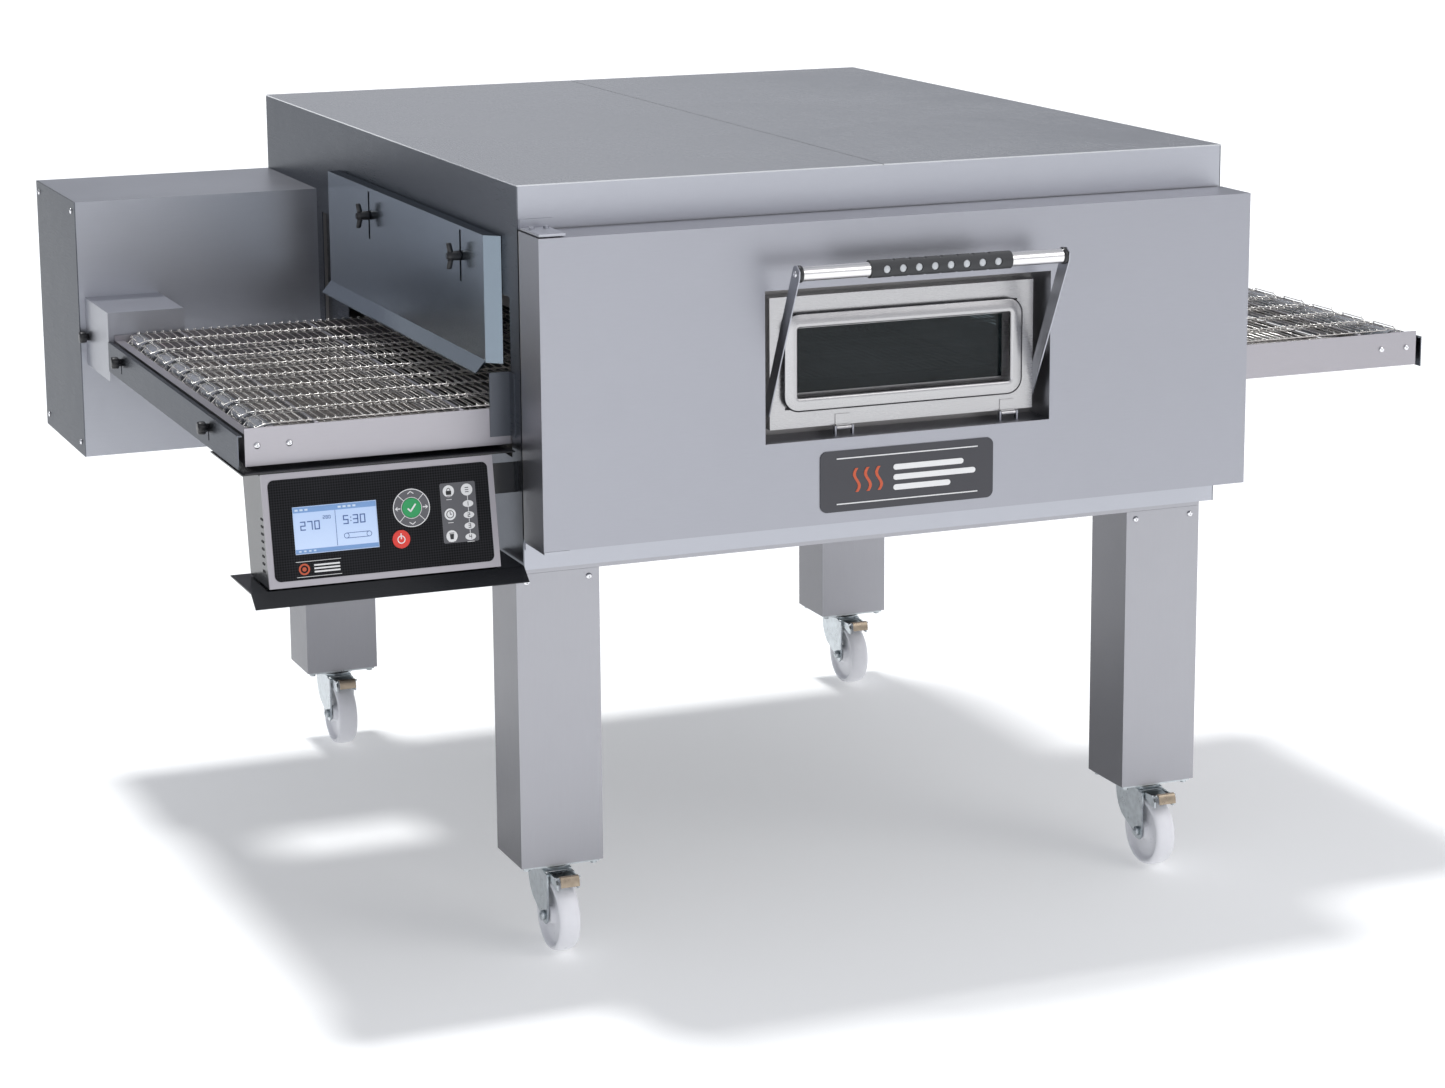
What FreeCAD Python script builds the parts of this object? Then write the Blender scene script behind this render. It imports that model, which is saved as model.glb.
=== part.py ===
import FreeCAD, Part
import Sketcher
import os

# Conveyor pizza oven on four braked casters. Millimetres, +Z up.
# The origin is on the floor, under the middle of the oven. +X runs along the
# conveyor, from the control side to the far side, and -Y is the front door side.

V = FreeCAD.Vector
doc = FreeCAD.newDocument("conveyor_oven")
sheet = doc.addObject("Spreadsheet::Sheet", "P")
nodes = {}
rows = [1]


def cell(alias, value):
    """One driving dimension: a plain number with a name of its own."""
    row = rows[0]
    sheet.set("A%d" % row, alias)
    sheet.set("B%d" % row, str(value))
    sheet.setAlias("B%d" % row, alias)
    rows[0] = row + 1


# overall sizes
cell("body_width", 1275)
cell("body_depth", 1525)
cell("body_height", 625)
cell("leg_length", 502)
cell("caster_height", 156)
cell("base_height", 18)
cell("sheet_wall", 2)
cell("wall_insulation", 60)
# legs and base
cell("leg_width", 144)
cell("leg_depth", 125)
cell("leg_wall", 3)
cell("leg_joint", 0.3)
cell("leg_inset_x", 2)
cell("leg_inset_y", 44)
cell("base_bar_width", 60)
cell("base_bar_gap", 1)
# conveyor
cell("conveyor_reach", 440)
cell("rail_front_y", 48)
cell("conveyor_width", 927)
cell("rail_bottom", 200)
cell("rail_height", 61)
cell("rail_flange", 14)
cell("end_flange", 16)
cell("rail_wall", 2)
cell("belt_top", 266)
cell("belt_thickness", 2)
cell("belt_side_gap", 6)
cell("belt_loop_radius", 23)
cell("belt_end_gap", 20)
cell("shaft_diameter", 20)
cell("sprocket_diameter", 38)
cell("sprocket_width", 84)
cell("sprocket_edge", 46)
cell("bearing_size", 44)
cell("turn_clearance", 0.3)
cell("rod_diameter", 8)
cell("tray_sheet", 1.5)
cell("rod_pitch", 240)
cell("guard_gap", 10)
cell("guard_height", 54)
cell("guard_bottom", 196)
cell("guard_flange", 8)
cell("guard_slot_width", 7)
cell("guard_travel", 18)
cell("guard_knob_inset", 105)
cell("guard_knob_diameter", 22)
cell("guard_knob_length", 18)
cell("guard_stud_diameter", 6)
# side openings and baffles
cell("tunnel_front", 44)
cell("tunnel_rear", 1140)
cell("tunnel_bottom", 178)
cell("tunnel_top", 440)
cell("louvre_front", 1004)
cell("baffle_offset", 24)
cell("baffle_bottom", 326)
cell("baffle_height", 208)
cell("baffle_start", 100)
cell("baffle_length", 905)
cell("baffle_end_bend", 21)
cell("baffle_lip", 17)
cell("baffle_lip_drop", 18)
cell("baffle_travel", 38)
cell("stud_diameter", 8)
cell("stud_reach", 48)
cell("stud_height", 485)
cell("stud_front_y", 220)
cell("stud_rear_y", 744)
cell("knob_hub_diameter", 18)
cell("knob_hub_length", 18)
cell("knob_wing_span", 44)
cell("knob_wing_thickness", 7)
cell("knob_gap", 1)
# baking chamber
cell("chamber_bottom", 96)
cell("chamber_top", 536)
cell("chamber_rear", 1190)
cell("duct_top_height", 350)
cell("duct_low_top", 186)
cell("duct_thickness", 60)
cell("duct_width", 130)
cell("duct_count", 4)
cell("duct_front_gap", 60)
cell("fan_diameter", 260)
cell("fan_hub_diameter", 60)
cell("fan_depth", 50)
cell("fan_gap", 14)
cell("fan_height", 316)
cell("fan_shaft_diameter", 16)
cell("fan_motor_diameter", 150)
cell("fan_motor_length", 140)
# front door
cell("door_bottom", 52)
cell("door_height", 501)
cell("door_thickness", 96)
cell("door_gap", 6)
cell("door_skin", 2)
cell("gasket_width", 14)
cell("pivot_x", 22)
cell("pivot_y", 80)
cell("pivot_diameter", 12)
cell("pivot_reach", 14)
cell("pivot_plate", 4)
cell("pivot_plate_width", 44)
cell("pivot_plate_gap", 2)
# window opening in the door and the hatch in it
cell("window_left", 382)
cell("window_width", 515)
cell("window_bottom", 194)
cell("window_height", 251)
cell("seat_overlap", 14)
cell("hatch_recess", 36)
cell("hatch_depth", 34)
cell("hatch_side_gap", 19)
cell("hatch_left_gap", 23)
cell("hatch_bottom_gap", 15)
cell("hatch_top_gap", 18)
cell("hatch_skin", 2)
cell("emboss_depth", 10)
cell("emboss_side_left", 27)
cell("emboss_side_right", 30)
cell("emboss_bottom", 31)
cell("emboss_top", 30)
cell("glass_inset_x", 22)
cell("glass_inset_z", 25)
cell("glass_lap", 8)
cell("glass_thickness", 4)
cell("hinge_drop", 6)
cell("hinge_barrel_diameter", 8)
cell("hinge_barrel_length", 26)
# handle
cell("handle_reach", 178)
cell("handle_height", 482)
cell("handle_diameter", 24)
cell("arm_thickness", 2)
cell("grip_diameter", 30)
cell("grip_length", 251)
cell("grip_left", 125)
# name plate
cell("plate_left", 478)
cell("plate_bottom", 71)
cell("plate_width", 314)
cell("plate_height", 102)
cell("plate_thickness", 2)
cell("plate_radius", 12)
# electrical box
cell("ebox_width", 462)
cell("ebox_front_y", 1174)
cell("ebox_height", 480)
cell("ebox_lid", 2)
cell("cover_width", 140)
cell("cover_left", 12)
cell("cover_height", 126)
cell("cover_bottom", 176)
cell("cover_gap", 3)
cell("motor_width", 90)
cell("motor_length", 190)
cell("coupling_diameter", 36)
cell("coupling_length", 50)
cell("gland_diameter", 34)
cell("gland_bore", 18)
cell("gland_length", 22)
cell("gland_left", 210)
cell("gland_y", 1350)
# control box
cell("panel_tilt", 11.2)
cell("panel_left", 424)
cell("panel_width", 381)
cell("panel_height", 180)
cell("panel_front_y", -15)
cell("panel_bottom", 14.5)
cell("panel_depth", 110)
cell("panel_wall", 2)
cell("bezel_thickness", 4)
cell("bezel_border", 10)
cell("overlay_thickness", 1.2)
cell("display_left", 46)
cell("display_bottom", 50)
cell("display_width", 137)
cell("display_height", 75)
cell("display_thickness", 1.5)
cell("ok_left", 240)
cell("ok_up", 107)
cell("ok_diameter", 31)
cell("start_left", 219)
cell("start_up", 59)
cell("start_diameter", 29)
cell("key_gap", 0.4)
cell("key_proud", 1)
cell("key_depth", 3)
cell("strap_bottom", 127)
cell("strap_height", 50)
cell("shield_overhang", 14)
cell("shield_depth", 200)
cell("tray_drop", 20)
cell("bracket_reach", 36)
cell("bracket_ear", 24)
cell("bracket_front_bottom", 214)
cell("bracket_front_height", 105)
cell("bracket_rear_bottom", 214)
cell("bracket_rear_height", 46)
cell("foot_inset", 20)
cell("foot_length", 40)
cell("tray_lip", 26)
# casters
cell("wheel_diameter", 125)
cell("wheel_width", 38)
cell("wheel_trail", 38)
cell("caster_plate_thickness", 4)
cell("caster_plate_width", 134)
cell("caster_plate_depth", 116)
cell("raceway_diameter", 72)
cell("raceway_height", 12)
cell("fork_wall", 3)
cell("fork_gap", 3)
cell("axle_diameter", 10)
cell("bolt_head", 8)
cell("fork_front", 52)
cell("fork_rear", 44)
cell("crown_gap", 16)
cell("pedal_width", 40)
cell("pedal_wall", 3)
cell("pedal_length", 42)
doc.recompute()

# named places, written as expressions on the sheet
FRONT = "((P.handle_reach + P.grip_diameter/2 - P.body_depth)/2)"
LEFT = "(-P.body_width/2)"
RIGHT = "(P.body_width/2)"
BASE = "(P.caster_height + P.leg_length + P.base_height)"
DOOR_FACE = "(-P.door_thickness - P.door_gap)"
RAIL_REAR = "(P.rail_front_y + P.conveyor_width)"
RAIL_TOP = "(P.rail_bottom + P.rail_height)"
LOOP_Z = "(P.belt_top - P.belt_loop_radius)"
BELT_END = "(P.conveyor_reach - P.belt_end_gap)"
SHAFT_X = "(%s - P.belt_loop_radius)" % BELT_END
HATCH_Y = "(%s + P.hatch_recess)" % DOOR_FACE
HATCH_LEFT = "(P.window_left + P.hatch_left_gap)"
HATCH_W = "(P.window_width - P.hatch_left_gap - P.hatch_side_gap + 5)"
HATCH_Z = "(P.window_bottom + P.hatch_bottom_gap)"
HATCH_H = "(P.window_height - P.hatch_bottom_gap - P.hatch_top_gap)"
AXLE_Z = "(P.wheel_diameter/2)"


def num(expr):
    """The value of an expression, for a first guess or a test."""
    return float(sheet.evalExpression(str(expr)))


def bind(obj, **sizes):
    for prop in sizes:
        obj.setExpression(prop, str(sizes[prop]))
    return obj


def locate(obj, x, y, z):
    """Place an object: x from the middle, y from the body's front, z from the floor."""
    obj.setExpression("Placement.Base.x", str(x))
    obj.setExpression("Placement.Base.y", "%s + (%s)" % (FRONT, y))
    obj.setExpression("Placement.Base.z", str(z))
    return obj


def box(name, x, y, z, dx, dy, dz):
    b = doc.addObject("Part::Box", name)
    bind(b, Length=dx, Width=dy, Height=dz)
    return locate(b, x, y, z)


TURN = {"x": (V(0, 1, 0), 90), "-x": (V(0, 1, 0), -90), "y": (V(1, 0, 0), -90),
        "-y": (V(1, 0, 0), 90), "z": (V(0, 0, 1), 0), "-z": (V(1, 0, 0), 180)}


def rod(name, axis, x, y, z, diameter, length):
    """A cylinder that starts at the point and runs along the axis."""
    c = doc.addObject("Part::Cylinder", name)
    c.Placement = FreeCAD.Placement(V(0, 0, 0), FreeCAD.Rotation(*TURN[axis]))
    bind(c, Radius="(%s)/2" % diameter, Height=length)
    return locate(c, x, y, z)


def cut(name, base, *tools):
    tool = tools[0]
    if len(tools) > 1:
        tool = fuse(name + "_tools", *tools)
    c = doc.addObject("Part::Cut", name)
    c.Base = base
    c.Tool = tool
    return c


def fuse(name, *shapes):
    f = doc.addObject("Part::MultiFuse", name)
    f.Shapes = list(shapes)
    return f


def node(name, obj):
    """A finished sub-part: its Label is its file's name."""
    obj.Label = name
    nodes[name] = obj
    return obj


def draw(body, name, plane, loops):
    """A fully bound sketch: each loop is a list of corners or a circle."""
    sk = body.newObject("Sketcher::SketchObject", name)
    role = plane + "_Plane"
    base = [f for f in body.Origin.OriginFeatures if f.Role == role][0]
    sk.AttachmentSupport = (base, [""])
    sk.MapMode = "FlatFace"
    for loop in loops:
        if isinstance(loop, tuple):
            draw_circle(sk, *loop)
        else:
            draw_loop(sk, loop)
    return sk


def draw_circle(sk, cx, cy, diameter):
    x, y, r = num(cx), num(cy), num(diameter) / 2
    g = sk.addGeometry(Part.Circle(V(x, y, 0), V(0, 0, 1), r), False)
    pin(sk, Sketcher.Constraint("DistanceX", -1, 1, g, 3, x), cx)
    pin(sk, Sketcher.Constraint("DistanceY", -1, 1, g, 3, y), cy)
    pin(sk, Sketcher.Constraint("Radius", g, r), "(%s)/2" % diameter)


def draw_loop(sk, corners):
    at = [V(num(a), num(b), 0) for a, b in corners]
    count = len(at)
    lines = [Part.LineSegment(at[i], at[(i + 1) % count]) for i in range(count)]
    ids = sk.addGeometry(lines, False)
    for i in range(count):
        sk.addConstraint(Sketcher.Constraint("Coincident", ids[i], 2, ids[(i + 1) % count], 1))
    for i in range(count):
        pin(sk, Sketcher.Constraint("DistanceX", -1, 1, ids[i], 1, at[i].x), corners[i][0])
        pin(sk, Sketcher.Constraint("DistanceY", -1, 1, ids[i], 1, at[i].y), corners[i][1])


def pin(sk, constraint, expr):
    index = sk.addConstraint(constraint)
    sk.setExpression("Constraints[%d]" % index, str(expr))


def rect(x, y, dx, dy):
    """Corners of a rectangle whose low corner is (x, y)."""
    x2 = "(%s)+(%s)" % (x, dx)
    y2 = "(%s)+(%s)" % (y, dy)
    return [(x, y), (x2, y), (x2, y2), (x, y2)]


def pad(body, name, plane, loops, length, back=False):
    p = body.newObject("PartDesign::Pad", name)
    p.Profile = draw(body, name + "_sketch", plane, loops)
    p.setExpression("Length", str(length))
    p.Reversed = back
    return p


def pocket(body, name, plane, loops, length, back=False):
    """Cut from the sketch plane to a depth; a length of None cuts through both ways."""
    before = body.Shape.Volume
    p = body.newObject("PartDesign::Pocket", name)
    p.Profile = draw(body, name + "_sketch", plane, loops)
    if length is None:
        p.Type = "ThroughAll"
        p.Midplane = True
    else:
        p.setExpression("Length", str(length))
        p.Reversed = back
    doc.recompute()
    if body.Shape.Volume > before - 1e-3:
        raise RuntimeError(name + " removes nothing")
    return p


def solid_body(name, x, y, z):
    return locate(doc.addObject("PartDesign::Body", name), x, y, z)


def round_edges(body, name, radius, axis, corners=None):
    """Fillet the straight edges along one axis, all of them or those at the corners."""
    doc.recompute()
    tip = body.Tip
    picked = []
    for index, edge in enumerate(tip.Shape.Edges):
        if len(edge.Vertexes) < 2:
            continue
        run = edge.Vertexes[1].Point - edge.Vertexes[0].Point
        if run.Length < 1e-6 or abs(abs(run.dot(axis)) - run.Length) > 1e-6:
            continue
        if corners is None or corners(edge.CenterOfMass):
            picked.append("Edge%d" % (index + 1))
    f = body.newObject("PartDesign::Fillet", name)
    f.Base = (tip, picked)
    f.setExpression("Radius", str(radius))
    return f


# ---------------------------------------------------------------- legs, base

def leg_spots():
    """Outer low corner of each leg, front left first, then right, then the rear pair."""
    xs = ["%s + P.leg_inset_x" % LEFT, "%s - P.leg_inset_x - P.leg_width" % RIGHT]
    ys = ["P.leg_inset_y", "P.body_depth - P.leg_inset_y - P.leg_depth"]
    return [(xs[0], ys[0]), (xs[1], ys[0]), (xs[0], ys[1]), (xs[1], ys[1])]


def legs():
    tubes = []
    for i, (x, y) in enumerate(leg_spots()):
        outer = box("leg_outer_%d" % i, x, y, "P.caster_height",
                    "P.leg_width", "P.leg_depth", "P.leg_length - P.leg_joint")
        inner = box("leg_inner_%d" % i, x + " + P.leg_wall", y + " + P.leg_wall",
                    "P.caster_height + 2*P.leg_wall", "P.leg_width - 2*P.leg_wall",
                    "P.leg_depth - 2*P.leg_wall", "P.leg_length - 4*P.leg_wall")
        tubes.append(cut("leg_tube_%d" % i, outer, inner))
    return tubes


def stand():
    """Four leg tubes and the ring of flat tubes that joins them under the body."""
    node("stand", fuse("stand_group", *(legs() + base_frame())))


def base_frame():
    z = "P.caster_height + P.leg_length"
    x0 = "%s + P.leg_inset_x" % LEFT
    x1 = "%s - P.leg_inset_x" % RIGHT
    y0 = "P.leg_inset_y"
    y1 = "P.body_depth - P.leg_inset_y"
    wide = "(%s) - (%s)" % (x1, x0)
    deep = "(%s) - (%s) - 2*P.base_bar_width - 2*P.base_bar_gap" % (y1, y0)
    mid = "%s + P.base_bar_width + P.base_bar_gap" % y0
    bars = [
        base_bar("front", x0, y0, z, wide, "P.base_bar_width"),
        base_bar("rear", x0, "%s - P.base_bar_width" % y1, z, wide, "P.base_bar_width"),
        base_bar("left", x0, mid, z, "P.base_bar_width", deep),
        base_bar("right", "%s - P.base_bar_width" % x1, mid, z, "P.base_bar_width", deep),
    ]
    return bars


def base_bar(side, x, y, z, dx, dy):
    """A flat steel tube of the ring that the body stands on."""
    outer = box("base_outer_" + side, x, y, z, dx, dy, "P.base_height")
    inner = box("base_inner_" + side, x + " + P.leg_wall", y + " + P.leg_wall",
                z + " + P.leg_wall", dx + " - 2*P.leg_wall", dy + " - 2*P.leg_wall",
                "P.base_height - 2*P.leg_wall")
    return cut("base_tube_" + side, outer, inner)


# ---------------------------------------------------------------- casters

def caster_spots():
    spots = []
    for x, y in leg_spots():
        spots.append((x + " + P.leg_width/2", y + " + P.leg_depth/2"))
    return spots


def caster_plates():
    plates = []
    z = "P.caster_height - P.caster_plate_thickness"
    for i, (x, y) in enumerate(caster_spots()):
        parts = [box("mount_plate_%d" % i, x + " - P.caster_plate_width/2",
                     y + " - P.caster_plate_depth/2", z, "P.caster_plate_width",
                     "P.caster_plate_depth", "P.caster_plate_thickness")]
        for j, (sx, sy) in enumerate([("-", "-"), ("+", "-"), ("-", "+"), ("+", "+")]):
            bx = "%s %s (P.caster_plate_width/2 - P.bolt_head)" % (x, sx)
            by = "%s %s (P.caster_plate_depth/2 - P.bolt_head)" % (y, sy)
            parts.append(rod("plate_bolt_%d_%d" % (i, j), "-z", bx, by, z, "P.bolt_head*1.4", 4))
        plates.append(fuse("mount_group_%d" % i, *parts))
    node("caster_plates", fuse("caster_plates_group", *plates))


FORK_TOP = "(P.caster_height - P.caster_plate_thickness - 0.5)"
FORK_IN = "(P.wheel_width/2 + P.fork_gap)"
PEDAL_Y = "(P.fork_front - 6)"
PEDAL_Z = "(P.wheel_diameter + 8)"


def caster(tag, x, y):
    fork_ring = rod("ring_" + tag, "-z", x, y, FORK_TOP, "P.raceway_diameter", "P.raceway_height")
    crown = caster_crown(tag, x, y)
    plates = [fork_plate(tag, "a", x, y, "-"), fork_plate(tag, "b", x, y, "+")]
    axle = rod("axle_" + tag, "x", "%s - %s - P.fork_wall - P.bolt_head" % (x, FORK_IN),
               "%s - P.wheel_trail" % y, AXLE_Z, "P.axle_diameter",
               "2*%s + 2*P.fork_wall + 2*P.bolt_head" % FORK_IN)
    pivot = rod("pedal_pivot_" + tag, "x", "%s - %s" % (x, FORK_IN), "%s - %s" % (y, PEDAL_Y),
                PEDAL_Z, 6, "2*%s" % FORK_IN)
    node("caster_fork_" + tag, fuse("fork_group_" + tag, fork_ring, crown, axle, pivot, *plates))
    caster_wheel(tag, x, y)
    brake_pedal(tag, x, y)


def caster_crown(tag, x, y):
    """Flat crown that joins the two fork plates under the raceway."""
    return box("crown_" + tag, "%s - %s - P.fork_wall" % (x, FORK_IN),
               "%s - P.fork_front + P.crown_gap" % y, "%s - P.raceway_height - 3" % FORK_TOP,
               "2*%s + 2*P.fork_wall" % FORK_IN, "P.fork_front + P.fork_rear - P.crown_gap", 3)


def fork_plate(tag, side, x, y, sign):
    """One fork plate: broad under the crown, upright in front, bowed behind down to the axle."""
    start = "%s - %s - P.fork_wall" % (x, FORK_IN)
    if sign == "+":
        start = "%s + %s" % (x, FORK_IN)
    b = solid_body("fork_plate_%s_%s" % (tag, side), start, y, 0)
    top = "%s - P.raceway_height - 3" % FORK_TOP
    corners = [("-P.fork_front", top), ("P.fork_rear", top), ("P.fork_rear", top + " - 16"),
               ("P.fork_rear - 3", top + " - 30"), ("P.fork_rear - 10", top + " - 45"),
               ("P.fork_rear - 22", top + " - 58"),
               ("-P.wheel_trail + 15", AXLE_Z + " - 6"), ("-P.wheel_trail + 8", AXLE_Z + " - 14"),
               ("-P.wheel_trail - 5", AXLE_Z + " - 15"), ("-P.wheel_trail - 12", AXLE_Z + " - 9"),
               ("-P.fork_front", AXLE_Z + " + 8")]
    pad(b, "fork_pad_%s_%s" % (tag, side), "YZ", [corners], "P.fork_wall")
    return b


def caster_wheel(tag, x, y):
    """Nylon wheel: tread, thinner web, hub with a plain bore."""
    b = solid_body("wheel_body_" + tag, x, "%s - P.wheel_trail" % y, AXLE_Z)
    half = "P.wheel_width/2"
    r = "P.wheel_diameter/2"
    bore = "P.axle_diameter/2 + P.turn_clearance"
    prof = [(bore, "-" + half), ("(P.wheel_diameter*0.14)", "-" + half),
            ("(P.wheel_diameter*0.2)", "-%s + 8" % half), (r + " - 16", "-%s + 8" % half),
            (r + " - 10", "-" + half), (r + " - 3", "-" + half), (r, "-%s + 3" % half),
            (r, half + " - 3"), (r + " - 3", half), (r + " - 10", half),
            (r + " - 16", half + " - 8"), ("(P.wheel_diameter*0.2)", half + " - 8"),
            ("(P.wheel_diameter*0.14)", half), (bore, half)]
    turned = [(b_, a_) for a_, b_ in prof]
    rev = b.newObject("PartDesign::Revolution", "wheel_turn_" + tag)
    rev.Profile = draw(b, "wheel_sketch_" + tag, "XZ", [turned])
    rev.ReferenceAxis = (rev.Profile[0], ["H_Axis"])
    rev.Angle = 360
    node("caster_wheel_" + tag, b)


def brake_pedal(tag, x, y):
    """Foot brake: a sleeve on its pivot, two side arms, a web and a raised tread lip."""
    py = "%s - %s" % (y, PEDAL_Y)
    wide = "P.pedal_width"
    sleeve = rod("sleeve_" + tag, "x", "%s - %s/2" % (x, wide), py, PEDAL_Z, 12, wide)
    arms = []
    for sign in ("-", "+"):
        start = "%s - %s/2" % (x, wide)
        if sign == "+":
            start = "%s + %s/2 - P.pedal_wall" % (x, wide)
        arm = solid_body("pedal_arm_%s_%s" % (tag, "ab"[sign == "+"]), start, py, PEDAL_Z)
        corners = [("6", "-5"), ("6", "5"), ("-P.pedal_length + 10", "6"),
                   ("-P.pedal_length", "-4"), ("-P.pedal_length", "-14"),
                   ("-P.pedal_length + 9", "-14"), ("-12", "-6")]
        pad(arm, "pedal_arm_pad_%s_%s" % (tag, "ab"[sign == "+"]), "YZ", [corners], "P.pedal_wall")
        arms.append(arm)
    b = solid_body("pedal_body_" + tag, "%s - %s/2" % (x, wide), py, PEDAL_Z)
    web = [("0", "2"), ("0", "5"), ("-P.pedal_length + 8", "2.5"), ("-P.pedal_length - 4", "10"),
           ("-P.pedal_length - 6", "8"), ("-P.pedal_length + 7", "-0.5")]
    pad(b, "pedal_pad_" + tag, "YZ", [web], wide)
    bore = rod("pedal_bore_" + tag, "x", "%s - %s/2 - 1" % (x, wide), py, PEDAL_Z,
               "6 + 2*P.turn_clearance", wide + " + 2")
    node("brake_pedal_" + tag, cut("pedal_cut_" + tag,
                                   fuse("pedal_group_" + tag, sleeve, b, *arms), bore))


# ---------------------------------------------------------------- body shell

def side_panel(side):
    """Outer side sheet with the opening that the conveyor passes through."""
    x = LEFT if side == "left" else RIGHT + " - P.sheet_wall"
    b = solid_body("side_" + side, x, "0", BASE)
    outer = rect("0", "0", "P.body_depth", "P.body_height - P.sheet_wall")
    hole = rect("P.tunnel_front", "P.tunnel_bottom", "P.tunnel_rear - P.tunnel_front",
                "P.tunnel_top - P.tunnel_bottom")
    pad(b, "side_pad_" + side, "YZ", [outer, hole], "P.sheet_wall")
    return b


def side_panels():
    node("side_panels", fuse("side_group", side_panel("left"), side_panel("right"),
                             *baffle_studs()))


def back_and_floor():
    """Rear sheet and floor sheet, one bent piece."""
    b = solid_body("back_sheet", LEFT + " + P.sheet_wall", "P.body_depth", BASE)
    wide = "P.body_width - 2*P.sheet_wall"
    outer = rect("0", "0", wide, "P.body_height - P.sheet_wall")
    pad(b, "back_pad", "XZ", [outer], "P.sheet_wall")
    floor = box("floor_sheet", LEFT + " + P.sheet_wall", "P.sheet_wall", BASE, wide,
                "P.body_depth - 2*P.sheet_wall", "P.sheet_wall")
    node("back_and_floor", fuse("back_floor_group", b, floor))


def front_frame():
    """Front fascia behind the door, open into the baking chamber."""
    b = solid_body("fascia", LEFT + " + P.sheet_wall", "P.sheet_wall", BASE)
    wide = "P.body_width - 2*P.sheet_wall"
    outer = rect("0", "0", wide, "P.body_height - P.sheet_wall")
    side = "P.wall_insulation - P.sheet_wall"
    hole = rect(side, "P.chamber_bottom", "%s - 2*(%s)" % (wide, side),
                "P.chamber_top - P.chamber_bottom")
    pad(b, "fascia_pad", "XZ", [outer, hole], "P.sheet_wall")
    node("front_frame", b)


def top_covers():
    """Two lids that meet on the middle line with a fine seam."""
    z = BASE + " + P.body_height - P.sheet_wall"
    half = "P.body_width/2 - 0.75"
    node("top_covers", fuse("lids", box("lid_left", LEFT, "0", z, half, "P.body_depth",
                                        "P.sheet_wall"),
                            box("lid_right", "0.75", "0", z, half, "P.body_depth",
                                "P.sheet_wall")))


def tunnel_box(name, side, grow, reach):
    x = LEFT + " + P.sheet_wall" if side == "left" else RIGHT + " - P.wall_insulation - 10"
    if reach:
        x = LEFT + " - 20" if side == "left" else RIGHT + " - P.wall_insulation - 20"
    length = "P.wall_insulation + 40" if reach else "P.wall_insulation + 10 - P.sheet_wall"
    g = "(%s)" % grow
    return box(name, x, "P.tunnel_front - %s" % g, "%s + P.tunnel_bottom - %s" % (BASE, g),
               length, "P.tunnel_rear - P.tunnel_front + 2*%s" % g,
               "P.tunnel_top - P.tunnel_bottom + 2*%s" % g)


def baking_chamber():
    """Inner liner, open at the front, with a short sleeve through each side wall."""
    wall = "P.sheet_wall"
    outer = box("liner_outer", "%s + P.wall_insulation - P.sheet_wall" % LEFT, "P.sheet_wall",
                "%s + P.chamber_bottom - P.sheet_wall" % BASE,
                "P.body_width - 2*P.wall_insulation + 2*P.sheet_wall", "P.chamber_rear",
                "P.chamber_top - P.chamber_bottom + 2*P.sheet_wall")
    sleeves = [tunnel_box("sleeve_outer_left", "left", wall, False),
               tunnel_box("sleeve_outer_right", "right", wall, False)]
    shell = fuse("liner_shell", outer, *sleeves)
    hollow = box("liner_inner", "%s + P.wall_insulation" % LEFT, "-5",
                 "%s + P.chamber_bottom" % BASE, "P.body_width - 2*P.wall_insulation",
                 "P.chamber_rear + 5", "P.chamber_top - P.chamber_bottom")
    bores = [tunnel_box("sleeve_bore_left", "left", 0, True),
             tunnel_box("sleeve_bore_right", "right", 0, True)]
    fan_hole = rod("liner_fan_hole", "y", "0", "P.chamber_rear - 20", "%s + P.fan_height" % BASE,
                   "P.fan_shaft_diameter + 6", 40)
    node("baking_chamber", cut("liner", shell, hollow, fan_hole, *bores))


def insulation():
    """Mineral wool that fills the walls between the liner and the outer sheets."""
    g = "P.sheet_wall + 0.5"
    outer = box("wool_outer", "%s + P.sheet_wall + 0.5" % LEFT, g,
                "%s + P.sheet_wall + 0.5" % BASE, "P.body_width - 2*(%s)" % g,
                "P.chamber_rear + P.wall_insulation", "P.body_height - 2*(%s)" % g)
    core = box("wool_core", "%s + P.wall_insulation - (%s)" % (LEFT, g), "-10",
               "%s + P.chamber_bottom - (%s)" % (BASE, g),
               "P.body_width - 2*P.wall_insulation + 2*(%s)" % g, "P.chamber_rear + 10 + 2*(%s)" % g,
               "P.chamber_top - P.chamber_bottom + 2*(%s)" % g)
    ports = [tunnel_box("wool_port_left", "left", g, True),
             tunnel_box("wool_port_right", "right", g, True)]
    fan_hole = rod("wool_fan_hole", "y", "0", "P.chamber_rear - 20", "%s + P.fan_height" % BASE,
                   "P.fan_shaft_diameter + 10", "P.wall_insulation + 60")
    node("insulation", cut("wool", outer, core, fan_hole, *ports))


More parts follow.
